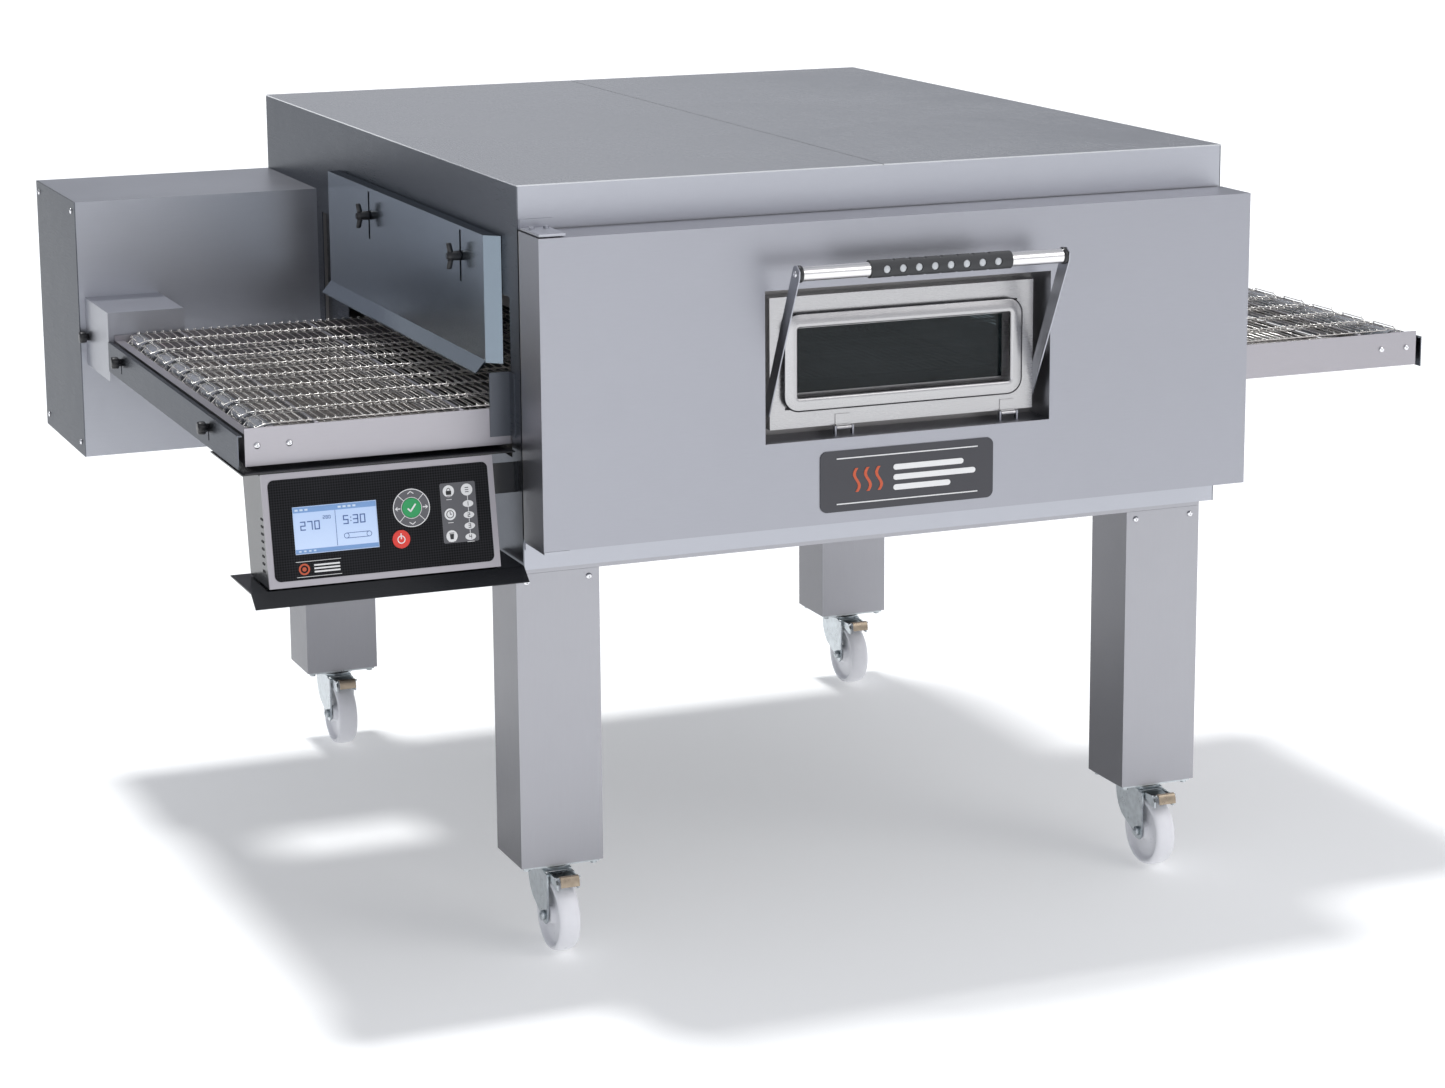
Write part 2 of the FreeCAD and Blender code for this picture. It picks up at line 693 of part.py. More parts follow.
def air_ducts():
    """Finger ducts above and below the belt, hollow boxes against the liner."""
    made = []
    room = "(P.body_width - 2*P.wall_insulation)"
    pitch = "(%s/P.duct_count)" % room
    for level, z, high in (("top", "P.duct_top_height", "P.chamber_top - P.duct_top_height"),
                           ("low", "P.chamber_bottom", "P.duct_low_top - P.chamber_bottom")):
        for i in range(int(num("P.duct_count"))):
            x = "-%s/2 + %s*%s - P.duct_width/2" % (room, pitch, i + 0.5)
            y = "P.duct_front_gap"
            long = "P.tunnel_rear - P.duct_front_gap - P.fan_depth - 60"
            outer = box("duct_%s_%d" % (level, i), x, y, "%s + %s" % (BASE, z),
                        "P.duct_width", long, high)
            inner = box("duct_in_%s_%d" % (level, i), x + " + 1.5", y + " + 1.5",
                        "%s + %s + 1.5" % (BASE, z), "P.duct_width - 3", long + " - 3",
                        high + " - 3")
            made.append(cut("duct_cut_%s_%d" % (level, i), outer, inner))
    node("air_ducts", fuse("duct_group", *made))


def fan():
    """Circulation fan: hub, shaft stub and six straight blades; returns its motor can."""
    z = "%s + P.fan_height" % BASE
    y0 = "P.chamber_rear - P.fan_gap - P.fan_depth"
    hub = rod("fan_hub", "y", "0", y0, z, "P.fan_hub_diameter", "P.fan_depth")
    disc = rod("fan_disc", "y", "0", y0 + " + P.fan_depth - 3", z, "P.fan_diameter", 3)
    stub = rod("fan_stub", "y", "0", y0, z, "P.fan_shaft_diameter",
               "P.fan_depth + P.fan_gap + P.wall_insulation + 11.5")
    blades = []
    for i in range(6):
        b = doc.addObject("Part::Box", "fan_blade_%d" % i)
        turn = FreeCAD.Rotation(V(0, 1, 0), 60 * i)
        b.Placement = FreeCAD.Placement(V(0, 0, 0), turn)
        bind(b, Length="P.fan_diameter/2 - 2", Width="P.fan_depth - 2", Height=2)
        blades.append(locate(b, "0", y0 + " + 1", z))
    node("fan", fuse("fan_group", hub, disc, stub, *blades))
    outer = rod("fan_motor_can", "y", "0", "P.chamber_rear + P.wall_insulation + 12", z,
                "P.fan_motor_diameter", "P.fan_motor_length")
    return outer


# ---------------------------------------------------------------- conveyor

def rail(side):
    """Angle rail along the whole conveyor, its flange turned inward."""
    y = "P.rail_front_y" if side == "front" else RAIL_REAR
    s = "" if side == "front" else "-"
    b = solid_body("rail_" + side, "%s - P.conveyor_reach" % LEFT, y, BASE)
    f = s + "P.rail_flange"
    t = s + "P.rail_wall"
    lo = "P.rail_bottom"
    hi = RAIL_TOP
    corners = [("0", lo), (f, lo), (f, lo + " + P.rail_wall"), (t, lo + " + P.rail_wall"),
               (t, hi), ("0", hi)]
    pad(b, "rail_pad_" + side, "YZ", [corners], "P.body_width + 2*P.conveyor_reach")
    if side == "front":
        return b
    hole = rod("rail_hole", "y", "%s - %s" % (LEFT, SHAFT_X), RAIL_REAR + " - 10",
               "%s + %s" % (BASE, LOOP_Z), "P.shaft_diameter + 6", 20)
    return cut("rail_rear_cut", b, hole)


def conveyor_rails():
    node("conveyor_rails", fuse("rails_group", rail("front"), rail("rear")))


def crumb_trays():
    """Shallow sheets that lie on the rail flanges under each end of the belt."""
    made = []
    for side in ("left", "right"):
        x = "%s - P.conveyor_reach + P.end_flange + 4" % LEFT if side == "left" else RIGHT
        made.append(box("crumb_tray_" + side, x, "P.rail_front_y + P.rail_wall + 1",
                        "%s + P.rail_bottom + P.rail_wall" % BASE,
                        "P.conveyor_reach - P.end_flange - 4",
                        "P.conveyor_width - 2*P.rail_wall - 2", "P.tray_sheet"))
    return made


def conveyor_frame():
    """Cross members, cross bars, crumb trays and shaft bearings between the two rails."""
    node("conveyor_frame", fuse("frame_group", *(frame_ends() + belt_supports()
                                                 + crumb_trays() + shaft_bearings())))


def frame_ends():
    """Cross members that close the conveyor frame at both ends, with the guard studs."""
    made = []
    wide = "P.conveyor_width - 2*P.rail_wall"
    y = "P.rail_front_y + P.rail_wall"
    for side, sign in (("left", "-"), ("right", "+")):
        x = "%s - P.conveyor_reach" % LEFT
        if side == "right":
            x = "%s + P.conveyor_reach - 2" % RIGHT
        wall = box("end_wall_" + side, x, y + " + 0.2", "%s + P.rail_bottom + 3" % BASE,
                   2, wide + " - 0.4", "P.rail_height - 13")
        fx = x if side == "left" else x + " + 2 - P.end_flange"
        flange = box("end_flange_" + side, fx, y + " + 0.2",
                     "%s + P.rail_bottom + P.rail_height - 11" % BASE, "P.end_flange",
                     wide + " - 0.4", 2)
        bits = [wall, flange]
        for k, ky in enumerate(knob_rows()):
            start = x if side == "left" else x + " + 2"
            bits.append(rod("guard_stud_%s_%d" % (side, k), "-x" if side == "left" else "x",
                            start, ky, guard_knob_z(), "P.guard_stud_diameter",
                            "P.guard_gap + P.sheet_wall + 0.3"))
        made.append(fuse("end_" + side, *bits))
    return made


def knob_rows():
    return ["P.rail_front_y + P.guard_knob_inset + 80",
            "%s - P.guard_knob_inset" % RAIL_REAR]


def guard_knob_z():
    return "%s + P.guard_bottom + P.guard_height/2 + P.guard_travel/2 - 2" % BASE


def end_guard(side):
    """Adjustable end guard: an angle whose slots hang on two studs."""
    s = "-" if side == "left" else ""
    x = LEFT + " - P.conveyor_reach - P.guard_gap"
    if side == "right":
        x = RIGHT + " + P.conveyor_reach + P.guard_gap"
    b = solid_body("guard_body_" + side, x, "P.rail_front_y", "%s + P.guard_bottom" % BASE)
    t = s + "P.sheet_wall"
    f = s + "(P.sheet_wall - P.guard_flange)"
    h = "P.guard_height"
    corners = [("0", "0"), (t, "0"), (t, h), (f, h), (f, h + " - P.sheet_wall"),
               ("0", h + " - P.sheet_wall")]
    pad(b, "guard_pad_" + side, "XZ", [corners], "P.conveyor_width", back=True)
    slots = []
    low = "%s - %s - P.guard_bottom - P.guard_travel - P.guard_slot_width/2" % (guard_knob_z(), BASE)
    for ky in knob_rows():
        slots.append(rect("%s - P.rail_front_y - P.guard_slot_width/2" % ky, low,
                          "P.guard_slot_width", "P.guard_travel + P.guard_slot_width"))
    doc.recompute()
    pocket(b, "guard_slots_" + side, "YZ", slots, None)
    node("end_guard_" + side, b)


def thumb_knobs():
    """Black clamp knobs on the guard studs and one on the coupling cover."""
    made = []
    for side in ("left", "right"):
        x = "%s - P.conveyor_reach - P.guard_gap - P.sheet_wall - 0.5" % LEFT
        axis = "-x"
        if side == "right":
            x = "%s + P.conveyor_reach + P.guard_gap + P.sheet_wall + 0.5" % RIGHT
            axis = "x"
        for k, ky in enumerate(knob_rows()):
            tag = "%s_%d" % (side, k)
            neck = rod("knob_neck_" + tag, axis, x, ky, guard_knob_z(), "P.guard_knob_diameter/2",
                       "P.guard_knob_length - 8")
            sign = "-" if side == "left" else "+"
            head = rod("knob_head_" + tag, axis, "%s %s (P.guard_knob_length - 9)" % (x, sign),
                       ky, guard_knob_z(), "P.guard_knob_diameter", 9)
            made.append(fuse("knob_" + tag, neck, head))
    hold = rod("cover_knob", "-x", "%s - P.ebox_width + P.cover_left" % LEFT,
               "P.ebox_front_y - 22", "%s + P.cover_bottom + P.cover_height/2 - 8" % BASE, 16, 10)
    node("thumb_knobs", fuse("thumb_knob_group", hold, *made))


def belt_supports():
    """Round cross bars that carry the upper run between the rails."""
    made = []
    z = "%s + P.belt_top - P.belt_thickness - P.rod_diameter/2 - 0.5" % BASE
    for i in range(9):
        x = "(%d)*P.rod_pitch" % (i - 4)
        made.append(rod("cross_bar_%d" % i, "y", x, "P.rail_front_y + P.rail_wall", z,
                        "P.rod_diameter", "P.conveyor_width - 2*P.rail_wall"))
    return made


def conveyor_belt():
    """The belt as one closed loop; the drawn outline is its two straight runs and ends."""
    b = solid_body("belt_body", "0", "P.rail_front_y + P.rail_wall + P.belt_side_gap",
                   "%s + %s" % (BASE, LOOP_Z))
    reach = "(P.body_width/2 + %s)" % SHAFT_X
    r = "P.belt_loop_radius"
    belt_loop_pad(b, "belt_outer", reach, r, False)
    belt_loop_pad(b, "belt_inner", reach, "(P.belt_loop_radius - P.belt_thickness)", True)
    node("conveyor_belt", b)


def belt_loop_pad(b, name, reach, radius, remove):
    """A stadium outline from tangent arcs and lines, padded or cut across the belt."""
    wide = "P.conveyor_width - 2*P.rail_wall - 2*P.belt_side_gap"
    kind = "PartDesign::Pocket" if remove else "PartDesign::Pad"
    before = b.Shape.Volume if remove else 0
    sk = draw(b, name + "_sketch", "XZ", [])
    x, r = num(reach), num(radius)
    up = Part.LineSegment(V(-x, r, 0), V(x, r, 0))
    down = Part.LineSegment(V(x, -r, 0), V(-x, -r, 0))
    near = Part.Arc(V(x, r, 0), V(x + r, 0, 0), V(x, -r, 0))
    far = Part.Arc(V(-x, -r, 0), V(-x - r, 0, 0), V(-x, r, 0))
    a, c, d, e = sk.addGeometry([up, down, near, far], False)
    for first, end1, second, end2 in ((a, 2, d, 2), (d, 1, c, 1), (c, 2, e, 2), (e, 1, a, 1)):
        sk.addConstraint(Sketcher.Constraint("Coincident", first, end1, second, end2))
    pin(sk, Sketcher.Constraint("DistanceX", -1, 1, d, 3, x), reach)
    pin(sk, Sketcher.Constraint("DistanceX", -1, 1, e, 3, -x), "-" + reach)
    for g in (d, e):
        pin(sk, Sketcher.Constraint("DistanceY", -1, 1, g, 3, 0.0), "0")
        pin(sk, Sketcher.Constraint("Radius", g, r), radius)
    pin(sk, Sketcher.Constraint("DistanceX", -1, 1, a, 1, -x), "-" + reach)
    pin(sk, Sketcher.Constraint("DistanceX", -1, 1, a, 2, x), reach)
    pin(sk, Sketcher.Constraint("DistanceX", -1, 1, c, 1, x), reach)
    pin(sk, Sketcher.Constraint("DistanceX", -1, 1, c, 2, -x), "-" + reach)
    f = b.newObject(kind, name)
    f.Profile = sk
    f.setExpression("Length", wide)
    f.Reversed = not remove
    doc.recompute()
    if remove and b.Shape.Volume > before - 1e-3:
        f.Reversed = True
        doc.recompute()
        if b.Shape.Volume > before - 1e-3:
            raise RuntimeError(name + " removes nothing")


def shaft(side):
    """End shaft with the sprocket wheels that the belt wraps round."""
    x = "%s - %s" % (LEFT, SHAFT_X) if side == "left" else "%s + %s" % (RIGHT, SHAFT_X)
    z = "%s + %s" % (BASE, LOOP_Z)
    start = "P.rail_front_y + P.rail_wall + 1"
    stop = "%s - P.rail_wall - 1" % RAIL_REAR
    if side == "left":
        stop = "P.ebox_front_y + 16"
    parts = [rod("shaft_rod_" + side, "y", x, start, z, "P.shaft_diameter",
                 "(%s) - (%s)" % (stop, start))]
    span = "(P.conveyor_width - 2*P.rail_wall - 2*P.belt_side_gap - 2*P.sprocket_edge)"
    for i in range(9):
        y = ("P.rail_front_y + P.rail_wall + P.belt_side_gap + P.sprocket_edge"
             " + %s*%d/8 - P.sprocket_width/2" % (span, i))
        parts.append(rod("sprocket_%s_%d" % (side, i), "y", x, y, z, "P.sprocket_diameter",
                         "P.sprocket_width"))
    if side == "left":
        parts.append(rod("coupling_sleeve", "y", x, "%s + 70" % RAIL_REAR, z,
                         "P.coupling_diameter", "P.coupling_length"))
    node("drive_shaft" if side == "left" else "idler_shaft", fuse("shaft_group_" + side, *parts))


def shaft_bearings():
    """Flange blocks on the insides of the rails, bored for the shafts."""
    made = []
    z = "%s + %s" % (BASE, LOOP_Z)
    for side in ("left", "right"):
        x = "%s - %s" % (LEFT, SHAFT_X) if side == "left" else "%s + %s" % (RIGHT, SHAFT_X)
        for end in ("front", "rear"):
            tag = side + "_" + end
            y = "P.rail_front_y + P.rail_wall"
            if end == "rear":
                y = "%s - P.rail_wall - P.belt_side_gap + 1" % RAIL_REAR
            block = rod("bearing_%s" % tag, "y", x, y, z, "P.bearing_size - 6",
                        "P.belt_side_gap - 1")
            bore = rod("bearing_bore_%s" % tag, "y", x, y + " - 1", z,
                       "P.shaft_diameter + 2*P.turn_clearance", "P.belt_side_gap + 2")
            made.append(cut("bearing_cut_" + tag, block, bore))
    return made


def side_brackets():
    """Angle brackets at the tunnel mouths that hold the conveyor rails to the side panels."""
    made = []
    for side in ("left", "right"):
        x = "%s - P.bracket_reach" % LEFT if side == "left" else RIGHT
        ear_x = "%s - P.sheet_wall" % LEFT if side == "left" else RIGHT
        for end in ("front", "rear"):
            y = "P.rail_front_y - P.sheet_wall" if end == "front" else RAIL_REAR
            z = "%s + P.bracket_%s_bottom" % (BASE, end)
            high = "P.bracket_%s_height" % end
            plate = box("bracket_%s_%s" % (side, end), x, y, z, "P.bracket_reach", "P.sheet_wall",
                        high)
            if end == "front":
                y = "P.rail_front_y - P.bracket_ear"
            ear = box("ear_%s_%s" % (side, end), ear_x, y, z, "P.sheet_wall", "P.bracket_ear", high)
            made.extend([plate, ear])
    return made


def frame_feet():
    """Blocks on the tunnel floor that the conveyor rails rest on."""
    made = []
    for side in ("left", "right"):
        x = "%s + P.foot_inset" % LEFT
        if side == "right":
            x = "%s - P.foot_inset - P.foot_length" % RIGHT
        for end in ("front", "rear"):
            y = "P.rail_front_y" if end == "front" else RAIL_REAR + " - P.rail_flange"
            made.append(box("foot_%s_%s" % (side, end), x, y, BASE + " + P.tunnel_bottom",
                            "P.foot_length", "P.rail_flange", "P.rail_bottom - P.tunnel_bottom"))
    return made


def louvre_plates():
    """Fixed louvred plate that closes the rear of each side opening."""
    made = []
    for side in ("left", "right"):
        x = "%s + 8" % LEFT if side == "left" else "%s - 10" % RIGHT
        plate = box("louvre_" + side, x, "P.louvre_front", "%s + P.tunnel_bottom + 0.5" % BASE,
                    2, "P.tunnel_rear - P.louvre_front - 0.5", "P.tunnel_top - P.tunnel_bottom - 1")
        made.append(plate)
    return made


def tunnel_fittings():
    made = side_brackets() + frame_feet() + louvre_plates()
    node("tunnel_fittings", fuse("fitting_group", *made))


# ---------------------------------------------------------------- baffles

def baffle(name, side):
    """Sliding baffle plate over the tunnel mouth: bent ends, top flange and bottom lip."""
    s = "-" if side == "left" else ""
    x = LEFT if side == "left" else RIGHT
    b = solid_body("baffle_" + side, x, "P.baffle_start", "%s + P.baffle_bottom" % BASE)
    off = s + "P.baffle_offset"
    inn = s + "(P.baffle_offset - P.sheet_wall)"
    tip = s + "1"
    bend = "P.baffle_end_bend"
    long = "P.baffle_length"
    plan = [(off, "0"), (tip, "-" + bend), (tip, "-%s + 3" % bend), (inn, "1"),
            (inn, long + " - P.sheet_wall"), (tip, long + " - P.sheet_wall"), (tip, long),
            (off, long)]
    pad(b, "baffle_pad_" + side, "XY", [plan], "P.baffle_height")
    flat = [(off, "0"), (tip, "-" + bend), (tip, long), (off, long)]
    top = pad(b, "baffle_top_" + side, "XY", [flat], "P.sheet_wall", back=True)
    top_sketch = top.Profile[0]
    top_sketch.setExpression("AttachmentOffset.Base.z", "P.baffle_height")
    lip = s + "(P.baffle_offset + P.baffle_lip)"
    drop = "-P.baffle_lip_drop"
    strip = [(inn, "0"), (inn, "4"), (off, "4"), (lip, drop + " + 2.6"), (lip, drop)]
    pad(b, "baffle_lip_" + side, "XZ", [strip], long, back=True)
    doc.recompute()
    slots = []
    width = "(P.stud_diameter + 1)"
    for y in ("P.stud_front_y", "P.stud_rear_y"):
        low = "P.stud_height - P.baffle_bottom - P.baffle_travel - %s/2" % width
        slots.append(rect("%s - P.baffle_start - %s/2" % (y, width), low, width,
                          "2*P.baffle_travel + " + width))
    pocket(b, "baffle_slots_" + side, "YZ", slots, None)
    node(name, b)


def baffle_studs():
    made = []
    for side in ("left", "right"):
        x = "%s" % LEFT if side == "left" else RIGHT
        for k, y in enumerate(("P.stud_front_y", "P.stud_rear_y")):
            root = x + (" + P.sheet_wall" if side == "left" else " - P.sheet_wall")
            made.append(rod("stud_%s_%d" % (side, k), "-x" if side == "left" else "x", root, y,
                            "%s + P.stud_height" % BASE, "P.stud_diameter",
                            "P.stud_reach + P.sheet_wall"))
    return made


def wing_knob(index, side, y):
    """Wing knob that clamps a baffle on its stud."""
    s = "-" if side == "left" else "+"
    axis = "-x" if side == "left" else "x"
    x = LEFT if side == "left" else RIGHT
    z = "%s + P.stud_height" % BASE
    start = "%s %s (P.baffle_offset + P.knob_gap)" % (x, s)
    tag = str(index)
    hub = rod("hub_" + tag, axis, start, y, z, "P.knob_hub_diameter", "P.knob_hub_length")
    far = "%s %s (P.baffle_offset + P.knob_gap + P.knob_hub_length - 2)" % (x, s)
    b = solid_body("wing_body_" + tag, far, y, z)
    w = "P.knob_wing_span/2"
    corners = [("-6", "-7"), ("-4", "-" + w), ("4", "-" + w), ("6", "-7"), ("6", "7"),
               ("4", w), ("-4", w), ("-6", "7")]
    pad(b, "wing_pad_" + tag, "YZ", [corners], "P.knob_wing_thickness", back=(side == "left"))
    bore = rod("wing_bore_" + tag, axis, start, y, z, "P.stud_diameter + 2*P.turn_clearance",
               "P.knob_hub_length + P.knob_wing_thickness - 2 + 5")
    node("wing_knob_" + tag, cut("wing_cut_" + tag, fuse("wing_group_" + tag, hub, b), bore))


# ---------------------------------------------------------------- front door

def window_rect(dx, dz, grow):
    """The window opening, grown each way, in the door's own sketch axes."""
    g = str(grow)
    return rect("P.window_left - %s" % g, "P.window_bottom - P.door_bottom - %s" % g,
                "P.window_width + 2*(%s)" % g, "P.window_height + 2*(%s)" % g)


def door_shell():
    """Pressed steel door pan with the sleeve that lines the window opening."""
    b = solid_body("door_body", LEFT, DOOR_FACE, "%s + P.door_bottom" % BASE)
    deep = "P.door_thickness - P.door_skin"
    outer = rect("0", "0", "P.body_width", "P.door_height")
    pad(b, "door_pad", "XZ", [outer, window_rect(0, 0, 0)], deep, back=True)
    doc.recompute()
    skin = "P.door_skin"
    inner = rect(skin, skin, "P.body_width - 2*P.door_skin", "P.door_height - 2*P.door_skin")
    p = pocket(b, "door_hollow", "XZ", [inner, window_rect(0, 0, skin)], deep, back=False)
    p.Profile[0].setExpression("AttachmentOffset.Base.z", "-P.door_skin")
    doc.recompute()
    bores = []
    for k, z in enumerate(("%s + P.door_bottom - 1" % BASE,
                           "%s + P.door_bottom + P.door_height - P.door_skin - 1" % BASE)):
        bores.append(rod("door_bore_%d" % k, "z", "%s + P.pivot_x" % LEFT, "-P.pivot_y", z,
                         "P.pivot_diameter + 2*P.turn_clearance", "P.door_skin + 2"))
    shell = cut("door_shell_cut", b, *bores)
    node("front_door_shell", fuse("door_shell_group", shell, *sill_pins()))


def door_liner():
    """Inner sheet of the door with the seat that the hatch closes against."""
    b = solid_body("liner_body", LEFT, "%s + P.door_thickness - P.door_skin" % DOOR_FACE,
                   "%s + P.door_bottom" % BASE)
    outer = rect("0", "0", "P.body_width", "P.door_height")
    left = "%s + P.seat_overlap" % HATCH_LEFT
    hole = rect(left, "%s - P.door_bottom + P.seat_overlap" % HATCH_Z,
                "%s - 2*P.seat_overlap" % HATCH_W, "%s - 2*P.seat_overlap" % HATCH_H)
    pad(b, "door_liner_pad", "XZ", [outer, hole], "P.door_skin", back=True)
    node("front_door_liner", fuse("liner_group", b, window_seat()))


def window_seat():
    """Seat frame that the hatch closes against, inside the window opening."""
    seat_y = "%s + P.hatch_recess + P.hatch_depth + 0.6" % DOOR_FACE
    deep = "P.door_thickness - P.hatch_recess - P.hatch_depth - 0.6 - P.door_skin"
    b = solid_body("seat_body", LEFT, seat_y, "%s + P.door_bottom" % BASE)
    outer = window_rect(0, 0, 0)
    hole = rect("%s + P.seat_overlap" % HATCH_LEFT,
                "%s - P.door_bottom + P.seat_overlap" % HATCH_Z,
                "%s - 2*P.seat_overlap" % HATCH_W, "%s - 2*P.seat_overlap" % HATCH_H)
    pad(b, "seat_pad", "XZ", [outer, hole], deep, back=True)
    return b


def door_gasket():
    """Heat proof bead between the door and the front frame."""
    b = solid_body("gasket_body", LEFT, "-P.door_gap", "%s + P.door_bottom" % BASE)
    edge = "(P.wall_insulation - P.gasket_width - 4)"
    low = "(P.chamber_bottom - P.door_bottom - P.gasket_width - 4)"
    high = "(P.chamber_top - P.door_bottom + 2)"
    outer = rect(edge, low, "P.body_width - 2*%s" % edge, "%s - %s" % (high, low))
    inner = rect("%s + P.gasket_width" % edge, "%s + P.gasket_width" % low,
                 "P.body_width - 2*%s - 2*P.gasket_width" % edge,
                 "%s - %s - 2*P.gasket_width" % (high, low))
    pad(b, "gasket_pad", "XZ", [outer, inner], "P.door_gap - 0.3", back=True)
    node("door_gasket", b)


def name_plate():
    b = solid_body("plate_body", "%s + P.plate_left" % LEFT, DOOR_FACE,
                   "%s + P.plate_bottom" % BASE)
    pad(b, "plate_pad", "XZ", [rect("0", "0", "P.plate_width", "P.plate_height")],
        "P.plate_thickness")
    round_edges(b, "plate_round", "P.plate_radius", V(0, 1, 0))
    node("name_plate", b)


def pivot_brackets():
    """Plates above and below the door that carry its pivot pins."""
    made = []
    low = "%s + P.door_bottom - P.pivot_plate_gap - P.pivot_plate" % BASE
    high = "%s + P.door_bottom + P.door_height + P.pivot_plate_gap" % BASE
    for tag, z in (("low", low), ("high", high)):
        plate = box("pivot_plate_" + tag, "%s + 3" % LEFT, "%s + 6" % DOOR_FACE, z,
                    "P.pivot_plate_width", "-(%s) - 6" % DOOR_FACE, "P.pivot_plate")
        foot_z = z + " - 12" if tag == "low" else z
        foot = box("pivot_foot_" + tag, "%s + 3" % LEFT, "-P.pivot_plate", foot_z,
                   "P.pivot_plate_width + 12", "P.pivot_plate", "P.pivot_plate + 12")
        pin_z = z + " + P.pivot_plate" if tag == "low" else z
        pin_rod = rod("pivot_pin_" + tag, "z" if tag == "low" else "-z", "%s + P.pivot_x" % LEFT,
                      "-P.pivot_y", pin_z, "P.pivot_diameter",
                      "P.pivot_reach + P.pivot_plate_gap")
        bolts = []
        for k in range(2):
            bolts.append(rod("pivot_bolt_%s_%d" % (tag, k), "-z" if tag == "low" else "z",
                             "%s + 14 + %d" % (LEFT, 24 * k), "-P.pivot_plate - 26",
                             z if tag == "low" else z + " + P.pivot_plate", 9, 4))
        made.append(fuse("pivot_" + tag, plate, foot, pin_rod, *bolts))
    node("door_pivots", fuse("pivot_group", *made))


# ---------------------------------------------------------------- hatch

def hatch_frame():
    """Hatch pan with a sunk panel round the glass."""
    b = solid_body("hatch_body", "%s + %s" % (LEFT, HATCH_LEFT), HATCH_Y,
                   "%s + %s" % (BASE, HATCH_Z))
    wide, high = HATCH_W, HATCH_H
    skin = "P.hatch_skin"
    deep = "P.hatch_depth"
    sunk = rect("P.emboss_side_left", "P.emboss_bottom",
                "%s - P.emboss_side_left - P.emboss_side_right" % wide,
                "%s - P.emboss_bottom - P.emboss_top" % high)
    rim = rect("P.emboss_side_left - %s" % skin, "P.emboss_bottom - %s" % skin,
               "%s - P.emboss_side_left - P.emboss_side_right + 2*%s" % (wide, skin),
               "%s - P.emboss_bottom - P.emboss_top + 2*%s" % (high, skin))
    pad(b, "hatch_pad", "XZ", [rect("0", "0", wide, high)], deep, back=True)
    doc.recompute()
    ring = rect(skin, skin, wide + " - 2*" + skin, high + " - 2*" + skin)
    p = pocket(b, "hatch_hollow", "XZ", [ring, rim], deep, back=False)
    p.Profile[0].setExpression("AttachmentOffset.Base.z", "-P.hatch_skin")
    doc.recompute()
    pocket(b, "hatch_sunk", "XZ", [sunk], "P.emboss_depth", back=False)
    p = pocket(b, "hatch_back", "XZ", [sunk], deep, back=False)
    p.Profile[0].setExpression("AttachmentOffset.Base.z", "-P.emboss_depth - P.hatch_skin")
    doc.recompute()
    pocket(b, "hatch_window", "XZ", [glass_rect("0", "0", 0)], None)
    node("hatch_frame", fuse("hatch_group", b, hatch_liner(), *hinge_leaves()))


def glass_rect(x, z, grow):
    """The glass opening inside the sunk panel, grown each way."""
    left = "%s + P.emboss_side_left + P.glass_inset_x - %s" % (x, grow)
    low = "%s + P.emboss_bottom + P.glass_inset_z - %s" % (z, grow)
    wide = "%s - P.emboss_side_left - P.emboss_side_right - 2*P.glass_inset_x + 2*%s" % (HATCH_W, grow)
    high = "%s - P.emboss_bottom - P.emboss_top - 2*P.glass_inset_z + 2*%s" % (HATCH_H, grow)
    return rect(left, low, wide, high)


def hatch_glass():
    """Outer pane behind the sunk panel."""
    b = solid_body("glass_body", "%s + %s" % (LEFT, HATCH_LEFT),
                   "%s + P.emboss_depth + P.hatch_skin" % HATCH_Y, "%s + %s" % (BASE, HATCH_Z))
    pad(b, "glass_pad", "XZ", [glass_rect("0", "0", "P.glass_lap")], "P.glass_thickness", back=True)
    node("hatch_glass", b)


def hatch_liner():
    """Back sheet of the hatch, with the same window."""
    b = solid_body("hatch_liner_body", "%s + %s" % (LEFT, HATCH_LEFT),
                   "%s + P.hatch_depth - P.hatch_skin" % HATCH_Y, "%s + %s" % (BASE, HATCH_Z))
    skin = "P.hatch_skin"
    sheet_rect = rect(skin, skin, HATCH_W + " - 2*" + skin, HATCH_H + " - 2*" + skin)
    pad(b, "hatch_liner_pad", "XZ", [sheet_rect, glass_rect("0", "0", 0)], skin, back=True)
    return b


HINGE_Y = "(%s - P.hinge_barrel_diameter/2 - 1)" % HATCH_Y
HINGE_Z = "(%s - P.hinge_drop + 2)" % HATCH_Z


def sill_pins():
    """Hinge pins on the sill of the window opening, in their two sill brackets."""
    made = []
    for k, share in enumerate(("0.27", "0.9")):
        x = "%s + %s + %s*%s" % (LEFT, HATCH_LEFT, HATCH_W, share)
        for j, dx in enumerate(("-P.hinge_barrel_length/2 - 4", "P.hinge_barrel_length/2 + 1")):
            made.append(box("sill_lug_%d_%d" % (k, j), "%s + (%s)" % (x, dx), HINGE_Y + " - 4",
                            "%s + P.window_bottom" % BASE, 3, 8,
                            "%s - P.window_bottom + 3.5" % HINGE_Z))
        pin_rod = rod("sill_pin_%d" % k, "x", "%s - P.hinge_barrel_length/2 - 4" % x, HINGE_Y,
                      "%s + %s" % (BASE, HINGE_Z), 4, "P.hinge_barrel_length + 8")
        made.append(pin_rod)
    return made


